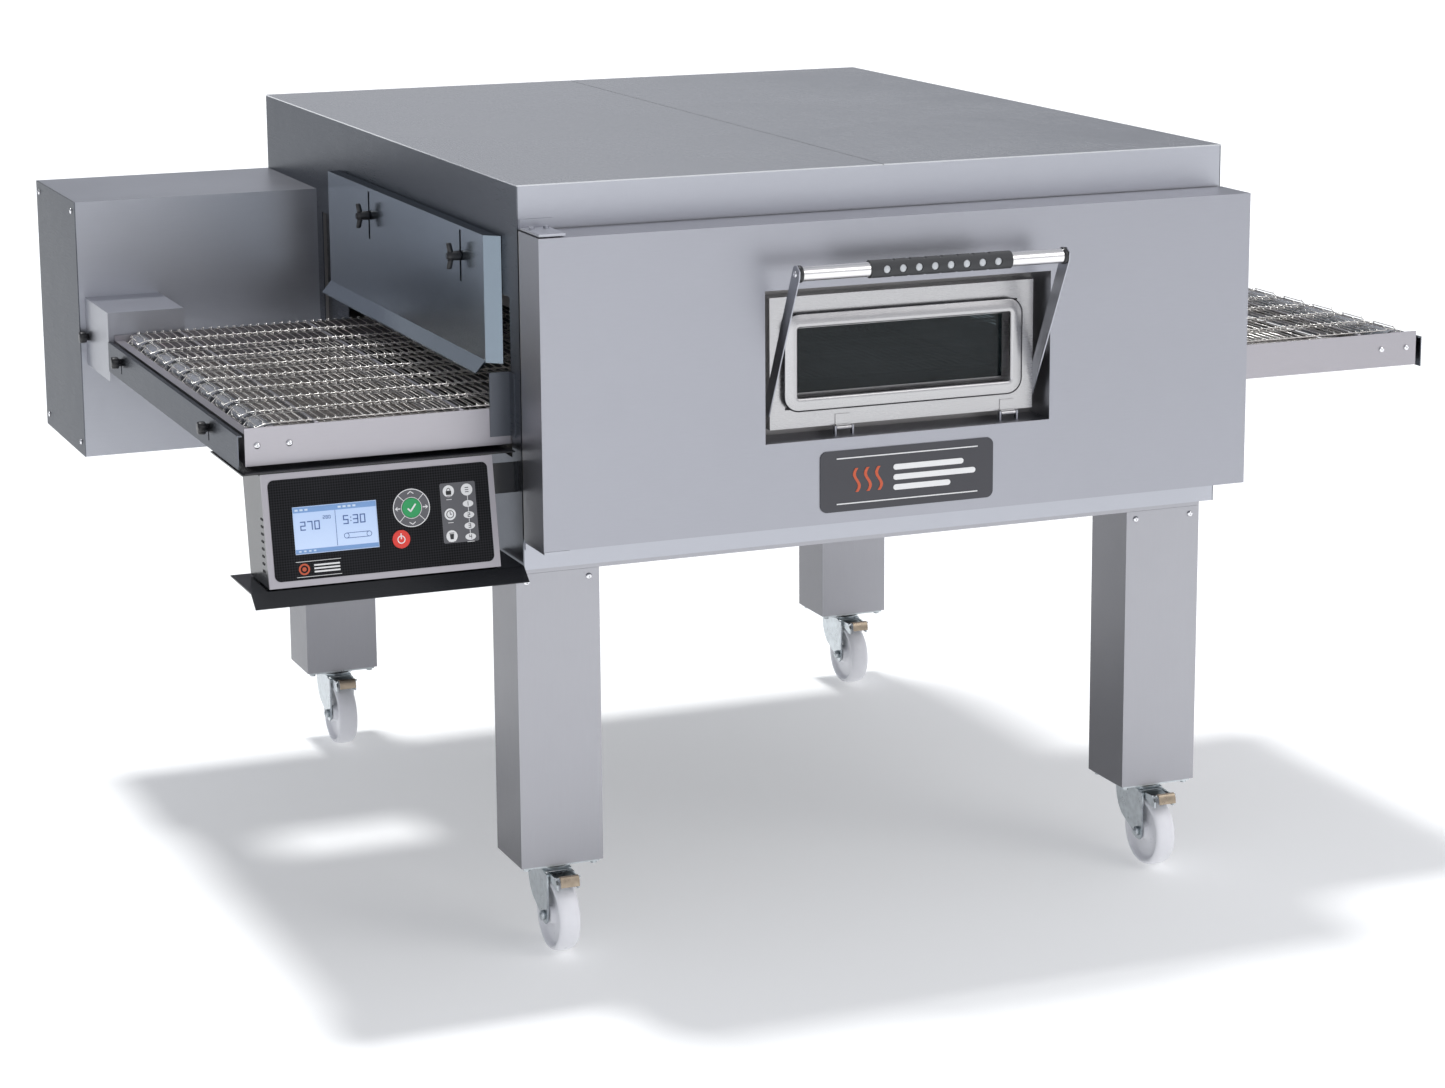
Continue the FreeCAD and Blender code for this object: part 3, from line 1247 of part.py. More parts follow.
def hinge_leaves():
    """Hinge barrels and their leaves under the hatch."""
    made = []
    for k, share in enumerate(("0.27", "0.9")):
        x = "%s + %s + %s*%s" % (LEFT, HATCH_LEFT, HATCH_W, share)
        barrel = rod("barrel_%d" % k, "x", "%s - P.hinge_barrel_length/2" % x, HINGE_Y,
                     "%s + %s" % (BASE, HINGE_Z), "P.hinge_barrel_diameter",
                     "P.hinge_barrel_length")
        leaf = box("leaf_%d" % k, "%s - P.hinge_barrel_length/2" % x, HATCH_Y + " - 2",
                   "%s + %s" % (BASE, HINGE_Z), "P.hinge_barrel_length", 2, 22)
        web = box("web_%d" % k, "%s - P.hinge_barrel_length/2" % x, HINGE_Y,
                  "%s + %s + 2.5" % (BASE, HINGE_Z), "P.hinge_barrel_length",
                  "%s - (%s)" % (HATCH_Y, HINGE_Y), 2.5)
        bore = rod("barrel_bore_%d" % k, "x", "%s - P.hinge_barrel_length/2 - 1" % x, HINGE_Y,
                   "%s + %s" % (BASE, HINGE_Z), "4 + 2*P.turn_clearance",
                   "P.hinge_barrel_length + 2")
        made.append(cut("leaf_cut_%d" % k, fuse("leaf_group_%d" % k, barrel, leaf, web), bore))
    return made


def handle_arms():
    """Two slanted side arms that carry the handle bar."""
    made = []
    for side in ("left", "right"):
        x = "%s + %s - P.arm_thickness" % (LEFT, HATCH_LEFT)
        if side == "right":
            x = "%s + %s + %s" % (LEFT, HATCH_LEFT, HATCH_W)
        b = solid_body("arm_" + side, x, "0", BASE)
        y = HATCH_Y
        corners = [("%s + 1" % y, HATCH_Z + " + 22"), ("%s + 12" % y, HATCH_Z + " + 22"),
                   ("%s + 12" % y, HATCH_Z + " + 54"),
                   ("-P.handle_reach + 11", "P.handle_height + P.handle_diameter/2 - 3"),
                   ("-P.handle_reach + 7", "P.handle_height + P.handle_diameter/2 + 1"),
                   ("-P.handle_reach - 3", "P.handle_height + P.handle_diameter/2 + 2"),
                   ("-P.handle_reach - P.handle_diameter/2 - 2", "P.handle_height + 6"),
                   ("-P.handle_reach - P.handle_diameter/2 - 1", "P.handle_height - 6")]
        pad(b, "arm_pad_" + side, "YZ", [corners], "P.arm_thickness")
        made.append(b)
    node("handle_arms", fuse("arm_group", *made))


def handle():
    z = "%s + P.handle_height" % BASE
    x = "%s + %s" % (LEFT, HATCH_LEFT)
    node("handle_bar", rod("bar_rod", "x", x, "-P.handle_reach", z, "P.handle_diameter", HATCH_W))
    outer = rod("grip_outer", "x", x + " + P.grip_left", "-P.handle_reach", z, "P.grip_diameter",
                "P.grip_length")
    bore = rod("grip_bore", "x", x + " + P.grip_left - 1", "-P.handle_reach", z,
               "P.handle_diameter", "P.grip_length + 2")
    node("handle_grip", cut("grip_cut", outer, bore))


# ---------------------------------------------------------------- electrical box

def electrical_box():
    x = "%s - P.ebox_width + P.ebox_lid" % LEFT
    deep = "P.body_depth - P.ebox_front_y"
    outer = box("ebox_outer", x, "P.ebox_front_y", BASE, "P.ebox_width - P.ebox_lid", deep,
                "P.ebox_height")
    inner = box("ebox_inner", x + " - 5", "P.ebox_front_y + P.sheet_wall", BASE + " + P.sheet_wall",
                "P.ebox_width - P.ebox_lid + 5 - P.sheet_wall", deep + " - 2*P.sheet_wall",
                "P.ebox_height - 2*P.sheet_wall")
    sx = "%s - %s" % (LEFT, SHAFT_X)
    hole = rod("ebox_shaft_hole", "y", sx, "P.ebox_front_y - 5", "%s + %s" % (BASE, LOOP_Z),
               "P.shaft_diameter + 6", 12)
    gland = rod("ebox_gland_hole", "z", "%s - P.gland_left" % LEFT, "P.gland_y", BASE + " - 5",
                "P.gland_bore + 4", 12)
    node("electrical_box", cut("ebox_cut", outer, inner, hole, gland))
    lid = box("ebox_lid_sheet", "%s - P.ebox_width" % LEFT, "P.ebox_front_y", BASE,
              "P.ebox_lid", deep, "P.ebox_height")
    node("electrical_box_lid", lid)


def motors(fan_can):
    """Geared belt motor in the electrical box, bored for the shaft, and the fan motor."""
    sx = "%s - %s" % (LEFT, SHAFT_X)
    z = "%s + %s" % (BASE, LOOP_Z)
    y = "P.ebox_front_y + P.sheet_wall + 4"
    gear = box("gear_case", "%s - P.motor_width/2 + 6" % sx, y, "%s - P.motor_width/2" % z,
               "P.motor_width - 12", "P.motor_length/2", "P.motor_width")
    bore = rod("gear_bore", "y", sx, y + " - 1", z, "P.shaft_diameter + 2*P.turn_clearance", 16)
    case = cut("gear_bored", gear, bore)
    can = rod("motor_can", "y", sx, y + " + P.motor_length/2", z, "P.motor_width - 22",
              "P.motor_length/2")
    node("motors", fuse("motor_group", case, can, fan_can))


def coupling_cover():
    """Small guard over the drive coupling, open to the electrical box."""
    x = "%s - P.ebox_width + P.cover_left" % LEFT
    y = "%s + P.cover_gap" % RAIL_REAR
    deep = "P.ebox_front_y - (%s)" % y
    outer = box("cover_outer", x, y, "%s + P.cover_bottom" % BASE, "P.cover_width", deep,
                "P.cover_height")
    w = "P.sheet_wall"
    inner = box("cover_inner", x + " + " + w, y + " + " + w,
                "%s + P.cover_bottom + P.sheet_wall" % BASE, "P.cover_width - 2*" + w,
                deep, "P.cover_height - 2*" + w)
    hole = rod("cover_hole", "y", "%s - %s" % (LEFT, SHAFT_X), y + " - 3",
               "%s + %s" % (BASE, LOOP_Z), "P.shaft_diameter + 6", 10)
    node("coupling_cover", cut("cover_cut", outer, inner, hole))


def cable_gland():
    x = "%s - P.gland_left" % LEFT
    head = rod("gland_head", "-z", x, "P.gland_y", BASE, "P.gland_diameter", "P.gland_length")
    bore = rod("gland_hole", "-z", x, "P.gland_y", BASE + " + 1", "P.gland_bore",
               "P.gland_length + 2")
    node("cable_gland", cut("gland_cut", head, bore))


# ---------------------------------------------------------------- control box

TS = "sin(P.panel_tilt)"
TC = "cos(P.panel_tilt)"


def tilted(obj, u, v, w):
    """Place an object on the tilted panel: u to the right, v up it, w into it."""
    obj.Placement = FreeCAD.Placement(V(0, 0, 0), FreeCAD.Rotation(V(1, 0, 0), -10))
    obj.setExpression("Placement.Rotation.Angle", "-P.panel_tilt")
    x = "%s - P.panel_left + (%s)" % (LEFT, u)
    y = "P.panel_front_y + (%s)*%s + (%s)*%s" % (v, TS, w, TC)
    z = "%s + P.panel_bottom + (%s)*%s - (%s)*%s" % (BASE, v, TC, w, TS)
    return locate(obj, x, y, z)


def key_rod(name, u, v, w, diameter, depth):
    """A round key or key hole, its axis square to the tilted panel."""
    c = doc.addObject("Part::Cylinder", name)
    c.Placement = FreeCAD.Placement(V(0, 0, 0), FreeCAD.Rotation(V(1, 0, 0), -100))
    bind(c, Radius="(%s)/2" % diameter, Height=depth)
    c.setExpression("Placement.Rotation.Angle", "-90 - P.panel_tilt")
    x = "%s - P.panel_left + (%s)" % (LEFT, u)
    y = "P.panel_front_y + (%s)*%s + (%s)*%s" % (v, TS, w, TC)
    z = "%s + P.panel_bottom + (%s)*%s - (%s)*%s" % (BASE, v, TC, w, TS)
    return locate(c, x, y, z)


def key_holes(prefix, w, depth):
    return [key_rod(prefix + "_ok", "P.ok_left", "P.ok_up", w, "P.ok_diameter + 2*P.key_gap", depth),
            key_rod(prefix + "_start", "P.start_left", "P.start_up", w,
                    "P.start_diameter + 2*P.key_gap", depth)]


def control_housing():
    """Housing behind the tilted panel, open to it; its top and bottom are level."""
    b = doc.addObject("PartDesign::Body", "housing_body")
    tilted(b, "0", "0", "P.bezel_thickness")
    deep = "P.panel_depth"
    rise = "%s*sin(P.panel_tilt)/cos(P.panel_tilt)" % deep
    outer = [("0", "1"), (deep, "1 + " + rise), (deep, "P.panel_height + %s - 2" % rise),
             ("0", "P.panel_height - 2")]
    pad(b, "housing_pad", "YZ", [outer], "P.panel_width")
    doc.recompute()
    w = "P.panel_wall"
    inner = [("-1", "1 + " + w), (deep + " - " + w, "1 + %s + %s" % (rise, w)),
             (deep + " - " + w, "P.panel_height + %s - 2 - %s" % (rise, w)),
             ("-1", "P.panel_height - 2 - " + w)]
    p = pocket(b, "housing_hollow", "YZ", [inner], "P.panel_width - 2*P.panel_wall", back=True)
    p.Profile[0].setExpression("AttachmentOffset.Base.z", "P.panel_wall")
    doc.recompute()
    node("control_housing", fuse("housing_group", b, control_strap()))


def control_bezel():
    b = doc.addObject("PartDesign::Body", "bezel_body")
    tilted(b, "0", "0", "0")
    loops = [rect("0", "0", "P.panel_width", "P.panel_height"),
             rect("P.display_left", "P.display_bottom", "P.display_width", "P.display_height"),
             ("P.ok_left", "P.ok_up", "P.ok_diameter + 2*P.key_gap"),
             ("P.start_left", "P.start_up", "P.start_diameter + 2*P.key_gap")]
    pad(b, "bezel_pad", "XZ", loops, "P.bezel_thickness", back=True)
    node("control_bezel", b)


def control_overlay():
    """Printed keypad foil with the display window and two key holes."""
    b = doc.addObject("PartDesign::Body", "overlay_body")
    tilted(b, "0", "0", "-P.overlay_thickness")
    e = "P.bezel_border"
    loops = [rect(e, e, "P.panel_width - 2*%s" % e, "P.panel_height - 2*%s" % e),
             rect("P.display_left", "P.display_bottom", "P.display_width", "P.display_height"),
             ("P.ok_left", "P.ok_up", "P.ok_diameter + 2*P.key_gap"),
             ("P.start_left", "P.start_up", "P.start_diameter + 2*P.key_gap")]
    pad(b, "overlay_pad", "XZ", loops, "P.overlay_thickness", back=True)
    far_x = "P.panel_width - P.bezel_border"

    def outer_corner(p):
        low = abs(p.x - num(e)) < 0.1 or abs(p.x - num(far_x)) < 0.1
        return low
    round_edges(b, "overlay_round", 10, V(0, 1, 0), outer_corner)
    node("keypad_overlay", b)


def display():
    d = box("display_pane", "0", "0", "0", "P.display_width", "P.display_thickness",
            "P.display_height")
    node("display", tilted(d, "P.display_left", "P.display_bottom", "0"))


def keys():
    w = "-P.overlay_thickness - P.key_proud"
    node("ok_key", key_rod("ok_cap", "P.ok_left", "P.ok_up", w, "P.ok_diameter", "P.key_depth"))
    node("start_stop_key", key_rod("start_cap", "P.start_left", "P.start_up", w,
                                   "P.start_diameter", "P.key_depth"))


def control_shields():
    """Dark plate under the conveyor frame above the control box, and the tray under it."""
    x = "%s - P.conveyor_reach - P.shield_overhang" % LEFT
    wide = "P.conveyor_reach + P.shield_overhang - 4"
    hood = box("shield_top", x, "18", "%s + P.guard_bottom - 2 - P.sheet_wall" % BASE, wide,
               "P.shield_depth", "P.sheet_wall")
    b = solid_body("tray_body", x, "P.panel_front_y", BASE)
    top = "P.panel_bottom - 3"
    corners = [("0", top), ("P.panel_depth + 20", top), ("P.panel_depth + 20", top + " - 2"),
               ("1", top + " - 2"), ("-P.tray_lip + 1", top + " - P.tray_drop - 1.5"),
               ("-P.tray_lip", top + " - P.tray_drop")]
    pad(b, "tray_pad", "YZ", [corners], wide)
    node("control_shields", fuse("shield_group", hood, b))


def control_strap():
    x = "%s - P.panel_left + P.panel_width" % LEFT
    return box("strap_plate", x, "16", "%s + P.strap_bottom" % BASE,
               "P.panel_left - P.panel_width", 2, "P.strap_height")


# ---------------------------------------------------------------- fasteners

def screws():
    """Dome headed screws on the rails, the legs, the side panels and the box lid."""
    made = []
    z = "%s + P.rail_bottom + P.rail_height/2 + 2" % BASE
    for i, dx in enumerate((20, 72)):
        for side in ("left", "right"):
            x = "%s - P.conveyor_reach + %d" % (LEFT, dx)
            if side == "right":
                x = "%s + P.conveyor_reach - %d" % (RIGHT, dx)
            made.append(rod("rail_screw_f_%s_%d" % (side, i), "-y", x, "P.rail_front_y", z, 11, 4))
            made.append(rod("rail_screw_r_%s_%d" % (side, i), "y", x, RAIL_REAR, z, 11, 2.6))
    for i, (x, y) in enumerate(leg_spots()):
        for j, dx in enumerate((18, 126)):
            made.append(rod("leg_bolt_%d_%d" % (i, j), "-y", x + " + %d" % dx, y,
                            "P.caster_height + P.leg_length - 14", 10, 4))
    lid_x = "%s - P.ebox_width" % LEFT
    for i, (fy, fz) in enumerate(((0.08, 0.96), (0.92, 0.96), (0.08, 0.05), (0.92, 0.05))):
        y = "P.ebox_front_y + (P.body_depth - P.ebox_front_y)*%s" % fy
        made.append(rod("lid_screw_%d" % i, "-x", lid_x, y, "%s + P.ebox_height*%s" % (BASE, fz),
                        8, 2.5))
    node("screws", fuse("screw_group", *made))


def build():
    stand()
    caster_plates()
    for tag, (x, y) in zip(("fl", "fr", "rl", "rr"), caster_spots()):
        caster(tag, x, y)
    side_panels()
    back_and_floor()
    front_frame()
    top_covers()
    baking_chamber()
    insulation()
    air_ducts()
    motors(fan())
    conveyor_rails()
    conveyor_frame()
    end_guard("left")
    end_guard("right")
    thumb_knobs()
    conveyor_belt()
    shaft("left")
    shaft("right")
    tunnel_fittings()
    baffle("entry_baffle", "left")
    baffle("exit_baffle", "right")
    wing_knob(1, "left", "P.stud_front_y")
    wing_knob(2, "left", "P.stud_rear_y")
    wing_knob(3, "right", "P.stud_front_y")
    wing_knob(4, "right", "P.stud_rear_y")
    door_shell()
    door_liner()
    door_gasket()
    name_plate()
    pivot_brackets()
    hatch_frame()
    hatch_glass()
    handle_arms()
    handle()
    electrical_box()
    coupling_cover()
    cable_gland()
    control_housing()
    control_bezel()
    control_overlay()
    display()
    keys()
    control_shields()
    screws()


def check_and_write():
    """Every object must have built, and every sub-part must be a valid shape."""
    doc.recompute()
    for obj in doc.Objects:
        if "Invalid" in obj.State or "Error" in obj.State:
            raise RuntimeError("failed: " + obj.Name)
    for name, obj in nodes.items():
        if obj.Shape.isNull() or not obj.Shape.isValid():
            raise RuntimeError("bad shape: " + name)
        if not obj.Shape.Solids:
            raise RuntimeError("no solid: " + name)
    if len(nodes) > 60:
        raise RuntimeError("%d sub-parts" % len(nodes))
    os.makedirs("parts", exist_ok=True)
    for name, obj in nodes.items():
        obj.Shape.exportStep("parts/%s.step" % name)
    print(len(nodes), "sub-parts written")


build()
check_and_write()
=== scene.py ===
"""Conveyor pizza oven: finishes, belt, knobs, wheels, keypad and studio round the CAD model."""
import math

import bmesh
import bpy
from mathutils import Matrix, Vector


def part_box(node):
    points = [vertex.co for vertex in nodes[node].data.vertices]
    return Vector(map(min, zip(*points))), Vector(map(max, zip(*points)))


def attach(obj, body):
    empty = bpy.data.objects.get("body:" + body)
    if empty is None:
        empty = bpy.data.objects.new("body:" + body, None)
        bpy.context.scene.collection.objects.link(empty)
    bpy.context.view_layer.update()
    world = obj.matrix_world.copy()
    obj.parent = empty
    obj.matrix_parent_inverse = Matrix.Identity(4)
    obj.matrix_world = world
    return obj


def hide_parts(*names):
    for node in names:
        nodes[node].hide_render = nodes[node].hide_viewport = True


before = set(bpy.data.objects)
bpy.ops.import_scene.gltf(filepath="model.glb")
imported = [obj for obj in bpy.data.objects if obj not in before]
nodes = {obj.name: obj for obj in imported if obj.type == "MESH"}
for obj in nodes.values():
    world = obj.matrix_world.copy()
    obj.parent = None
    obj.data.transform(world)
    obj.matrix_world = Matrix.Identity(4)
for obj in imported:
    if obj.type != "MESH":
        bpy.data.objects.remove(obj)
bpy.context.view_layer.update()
scene = bpy.context.scene


def span(name):
    low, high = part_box(name)
    return Vector(low), Vector(high)


# ---------------------------------------------------------------- camera

def make_camera():
    """Front left view from a little above the oven."""
    cam = bpy.data.objects.new("camera", bpy.data.cameras.new("camera"))
    scene.collection.objects.link(cam)
    cam.data.sensor_width = 36
    cam.data.lens = 85.68
    cam.data.shift_y = -0.0692
    cam.data.clip_end = 200
    turn = (Matrix.Rotation(math.radians(-22.206), 4, "Z")
            @ Matrix.Rotation(math.radians(78.246), 4, "X") @ Matrix.Rotation(-0.00683, 4, "Z"))
    cam.matrix_world = Matrix.Translation((-2.37713, -5.78116, 2.00444)) @ turn
    scene.camera = cam


make_camera()

CORNERS = ("fl", "fr", "rl", "rr")


# ---------------------------------------------------------------- node writing

class Wire:
    """A socket that takes part in ordinary arithmetic."""

    def __init__(self, tree, socket):
        self.tree = tree
        self.socket = socket

    def math(self, operation, *others):
        return self.tree.node("ShaderNodeMath", {"operation": operation}, (self,) + others)

    def __add__(self, other):
        return self.math("ADD", other)

    __radd__ = __add__

    def __sub__(self, other):
        return self.math("SUBTRACT", other)

    def __rsub__(self, other):
        return self.tree.node("ShaderNodeMath", {"operation": "SUBTRACT"}, (other, self))

    def __mul__(self, other):
        return self.math("MULTIPLY", other)

    __rmul__ = __mul__

    def __truediv__(self, other):
        return self.math("DIVIDE", other)

    def __rtruediv__(self, other):
        return self.tree.node("ShaderNodeMath", {"operation": "DIVIDE"}, (other, self))

    def __mod__(self, other):
        return self.math("FLOORED_MODULO", other)

    def __gt__(self, other):
        return self.math("GREATER_THAN", other)

    def floor(self):
        return self.math("FLOOR")

    def sin(self):
        return self.math("SINE")

    def abs(self):
        return self.math("ABSOLUTE")

    def clamp(self):
        return self.tree.node("ShaderNodeClamp", {}, (self, 0.0, 1.0))


class Tree:
    """A node tree that grows by one method."""

    def __init__(self, tree):
        self.tree = tree

    def node(self, kind, settings=None, inputs=(), out=0):
        made = self.tree.nodes.new(kind)
        for key, value in (settings or {}).items():
            if key == "stops":
                self.stops(made.color_ramp, value)
            else:
                setattr(made, key, value)
        pairs = inputs.items() if isinstance(inputs, dict) else enumerate(inputs)
        for key, value in pairs:
            if isinstance(value, Wire):
                self.tree.links.new(value.socket, made.inputs[key])
            elif value is not None:
                made.inputs[key].default_value = value
        return Wire(self, made.outputs[out]) if made.outputs else made

    @staticmethod
    def stops(ramp, values):
        while len(ramp.elements) < len(values):
            ramp.elements.new(0.5)
        for element, (position, colour) in zip(ramp.elements, values):
            element.position = position
            element.color = tuple(colour) + (1,) if len(colour) == 3 else tuple(colour)

    def vector(self, operation, *values, out=0):
        return self.node("ShaderNodeVectorMath", {"operation": operation}, values, out)

    def xyz(self, x, y, z):
        return self.node("ShaderNodeCombineXYZ", {}, (x, y, z))

    def split(self, vector):
        return [self.node("ShaderNodeSeparateXYZ", {}, (vector,), out=i) for i in range(3)]


class Finish(Tree):
    """One material."""

    def __init__(self, name):
        self.material = bpy.data.materials.new(name)
        self.material.use_nodes = True
        super().__init__(self.material.node_tree)
        self.tree.nodes.clear()

    def place(self, stretch=(1, 1, 1)):
        """Object coordinates in metres, stretched along the axes."""
        here = self.node("ShaderNodeTexCoord", out="Object")
        return self.node("ShaderNodeMapping", {}, {"Vector": here, "Scale": stretch})

    def noise(self, where, scale, detail=3.0, rough=0.5, distortion=0.0):
        return self.node("ShaderNodeTexNoise", {}, {
            "Vector": where, "Scale": scale, "Detail": detail, "Roughness": rough,
            "Distortion": distortion})

    def blend(self, amount, a, b):
        return self.node("ShaderNodeMix", {"data_type": "RGBA"},
                         {0: amount, 6: a + (1,) if isinstance(a, tuple) else a,
                          7: b + (1,) if isinstance(b, tuple) else b}, out=2)

    def bump(self, height, strength, distance):
        return self.node("ShaderNodeBump", {}, {"Height": height, "Strength": strength,
                                                "Distance": distance})

    def surface(self, colour, metallic, roughness, normal=None, **extra):
        inputs = {"Base Color": colour + (1,) if isinstance(colour, tuple) else colour,
                  "Metallic": metallic, "Roughness": roughness, "Normal": normal}
        for key, value in extra.items():
            inputs[key.replace("_", " ")] = value
        shader = self.node("ShaderNodeBsdfPrincipled", {}, inputs)
        self.node("ShaderNodeOutputMaterial", {}, {"Surface": shader})
        return self.material


def brushed(name, colour, grain=(1, 60, 60), rough=0.36, depth=0.10, spread=0.05, metal=1.0,
            side_shade=0.0, edge=1.0):
    """Brushed stainless sheet: fine grain, faint clouds, and painted shade that darkens its faces
    turned along X.
    """
    f = Finish(name)
    lines = f.noise(f.place(grain), 26.0, 4.0, 0.62)
    fine = f.noise(f.place(tuple(g * 3.1 for g in grain)), 55.0, 2.0, 0.7)
    cloud = f.noise(f.place(), 2.3, 3.0, 0.55, 0.4)
    marks = f.noise(f.place(), 11.0, 5.0, 0.7, 1.2)
    streak = (lines - 0.5) * 1.3 + (fine - 0.5) * 0.7
    dark = tuple(c * (1 - spread) for c in colour)
    light = tuple(min(1.0, c * (1 + spread)) for c in colour)
    tone = (0.5 + streak * 0.9 + (cloud - 0.5) * 1.1).clamp()
    roughness = (rough + streak * 0.14 + (cloud - 0.5) * 0.12 + (marks - 0.5) * 0.07).clamp()
    sheet = f.blend(tone, dark, light)
    # Painted shade: faces turned along X, the left and right sides, take a darker copy of the tone.
    if side_shade:
        facing = f.split(f.node("ShaderNodeTexCoord", out="Normal"))[0].abs()
        shaded_side_tone = tuple(c * (1 - side_shade) for c in colour)
        sheet = f.blend(((facing - 0.5) * 2.0).clamp(), sheet, f.blend(tone, shaded_side_tone, tuple(
            c * 1.1 for c in shaded_side_tone)))
    return f.surface(sheet, metal, roughness, f.bump(streak, depth, 0.0004),
                     Specular_Tint=(edge, edge, edge, 1))


def plain_metal(name, colour, rough, speckle=0.12, scale=70.0, depth=0.15):
    """Cast or plated metal with small mottled grain."""
    f = Finish(name)
    grain = f.noise(f.place(), scale, 5.0, 0.6)
    cell = f.node("ShaderNodeTexVoronoi", {"feature": "SMOOTH_F1"}, {"Vector": f.place(),
                                                                    "Scale": scale * 2.4})
    mixed = grain * 0.7 + cell * 0.6
    tone = (mixed * 1.4 - 0.3).clamp()
    dark = tuple(c * (1 - 1.6 * speckle) for c in colour)
    light = tuple(min(1.0, c * (1 + speckle)) for c in colour)
    return f.surface(f.blend(tone, dark, light), 1.0, (rough + (grain - 0.5) * 0.25).clamp(),
                     f.bump(mixed, depth, 0.0003))


def plastic(name, colour, rough, depth=0.12, scale=240.0, spread=0.12, coat=0.0):
    """Moulded plastic or rubber with a fine spark-eroded grain."""
    f = Finish(name)
    grain = f.noise(f.place(), scale, 3.0, 0.6)
    cloud = f.noise(f.place(), 9.0, 3.0, 0.6)
    dark = tuple(c * (1 - spread) for c in colour)
    light = tuple(min(1.0, c * (1 + spread)) for c in colour)
    tone = ((grain - 0.5) * 0.8 + cloud).clamp()
    return f.surface(f.blend(tone, dark, light), 0.0,
                     (rough + (grain - 0.5) * 0.2 + (cloud - 0.5) * 0.12).clamp(),
                     f.bump(grain, depth, 0.0003), Coat_Weight=coat)


def carbon_foil(name):
    """Printed foil with a small woven diamond pattern."""
    f = Finish(name)
    x, y, z = f.split(f.place())
    pitch = 0.0042
    up = z * 1.02
    a = ((x + up) / pitch * math.pi).sin()
    b = ((x - up) / pitch * math.pi).sin()
    weave = (a * b * 0.5 + 0.5).clamp()
    haze = f.noise(f.place(), 14.0, 2.0)
    colour = f.blend((weave * 0.8 + (haze - 0.5) * 0.3).clamp(), (0.0015, 0.0015, 0.002),
                     (0.026, 0.027, 0.031))
    return f.surface(colour, 0.0, (0.30 + weave * 0.12 + (haze - 0.5) * 0.1).clamp(),
                     f.bump(weave, 0.08, 0.0002), Specular_IOR_Level=0.10)


def lit_screen(name):
    """Blue white liquid crystal screen with its dot matrix."""
    f = Finish(name)
    x, y, z = f.split(f.place())
    dots = ((x / 0.0009 * math.pi).sin() * (z / 0.0009 * math.pi).sin()).abs()
    low, high = span("display")
    fade = ((z - low.z) / (high.z - low.z)).clamp()
    colour = f.blend(fade, (0.46, 0.56, 0.74), (0.36, 0.47, 0.67))
    shade = f.blend((dots * 0.16).clamp(), colour, (0.26, 0.36, 0.54))
    return f.surface(shade, 0.0, (0.22 + dots * 0.06).clamp(), None,
                     Emission_Color=shade, Emission_Strength=0.35)


def oven_glass(name):
    """Smoked oven glass that shows a little of the inside."""
    f = Finish(name)
    smear = f.noise(f.place((1, 1, 2)), 9.0, 4.0, 0.6, 0.8)
    clear = f.node("ShaderNodeBsdfTransparent", {}, {"Color": (0.36, 0.41, 0.43, 1)})
    gloss = f.node("ShaderNodeBsdfPrincipled", {}, {
        "Base Color": f.blend(smear, (0.012, 0.018, 0.020), (0.030, 0.038, 0.042)),
        "Roughness": (0.05 + smear * 0.08).clamp(), "Specular IOR Level": 0.45})
    share = (0.62 - smear * 0.10).clamp()
    mixed = f.node("ShaderNodeMixShader", {}, {0: share, 1: gloss, 2: clear})
    f.node("ShaderNodeOutputMaterial", {}, {"Surface": mixed})
    return f.material


def ink(name, colour):
    """Screen printed ink on the foil."""
    f = Finish(name)
    grain = f.noise(f.place(), 900.0, 2.0)
    shade = f.blend(grain, tuple(c * 0.88 for c in colour), colour)
    return f.surface(shade, 0.0, (0.42 + (grain - 0.5) * 0.2).clamp())


# Painted shade: steel_front, steel_door, steel_leg and steel_rail darken their faces turned along
# X.
STEEL = brushed("steel_front", (0.44, 0.45, 0.49), (1, 60, 60), 0.37, side_shade=0.30)
STEEL_DOOR = brushed("steel_door", (0.36, 0.365, 0.40), (1, 60, 60), 0.37, side_shade=0.30)
STEEL_TOP = brushed("steel_lid", (0.58, 0.59, 0.61), (60, 1, 60), 0.25, spread=0.04)
# Painted shade: stainless steel toned far darker than the front, with a dimmed edge reflection, as
# the shaded sides look.
SHADED_STEEL_SIDE = brushed("steel_side_painted_shade", (0.145, 0.155, 0.175), (60, 1, 60), 0.30, edge=0.55)
STEEL_LEG = brushed("steel_leg", (0.37, 0.37, 0.395), (60, 60, 1), 0.34, side_shade=0.52)
STEEL_RAIL = brushed("steel_rail", (0.40, 0.385, 0.41), (1, 60, 60), 0.36, side_shade=0.35)
STEEL_BAFFLE = brushed("steel_baffle", (0.22, 0.265, 0.31), (60, 1, 60), 0.18, 0.04)
STEEL_HATCH = brushed("steel_hatch", (0.47, 0.465, 0.47), (1, 60, 60), 0.30, 0.06)
BLUED = brushed("dark_sheet", (0.007, 0.008, 0.010), (1, 40, 40), 0.22, 0.04, metal=0.0)
# Partly baked-on soot, partly painted shade: the dark film laid under both belt ends.
BAKED_SOOT_AND_SHADE = brushed("baked_soot_and_shade", (0.16, 0.145, 0.135), (1, 30, 30), 0.42, 0.08, 0.25)
LINER = brushed("liner_sheet", (0.32, 0.31, 0.30), (60, 1, 60), 0.42)
POLISHED = plain_metal("polished_tube", (0.80, 0.79, 0.79), 0.17, 0.02, 24.0, 0.01)
INSERT = plastic("pale_insert", (0.50, 0.52, 0.54), 0.30, 0.05, 300.0, 0.04, 0.2)
BELT_WIRE = plain_metal("belt_wire", (0.88, 0.84, 0.80), 0.34, 0.16, 60.0, 0.1)
ROLLER = plain_metal("roller_tube", (0.55, 0.56, 0.58), 0.24, 0.08, 30.0, 0.05)
ZINC = plain_metal("zinc_plate", (0.56, 0.60, 0.62), 0.30, 0.14, 45.0, 0.2)
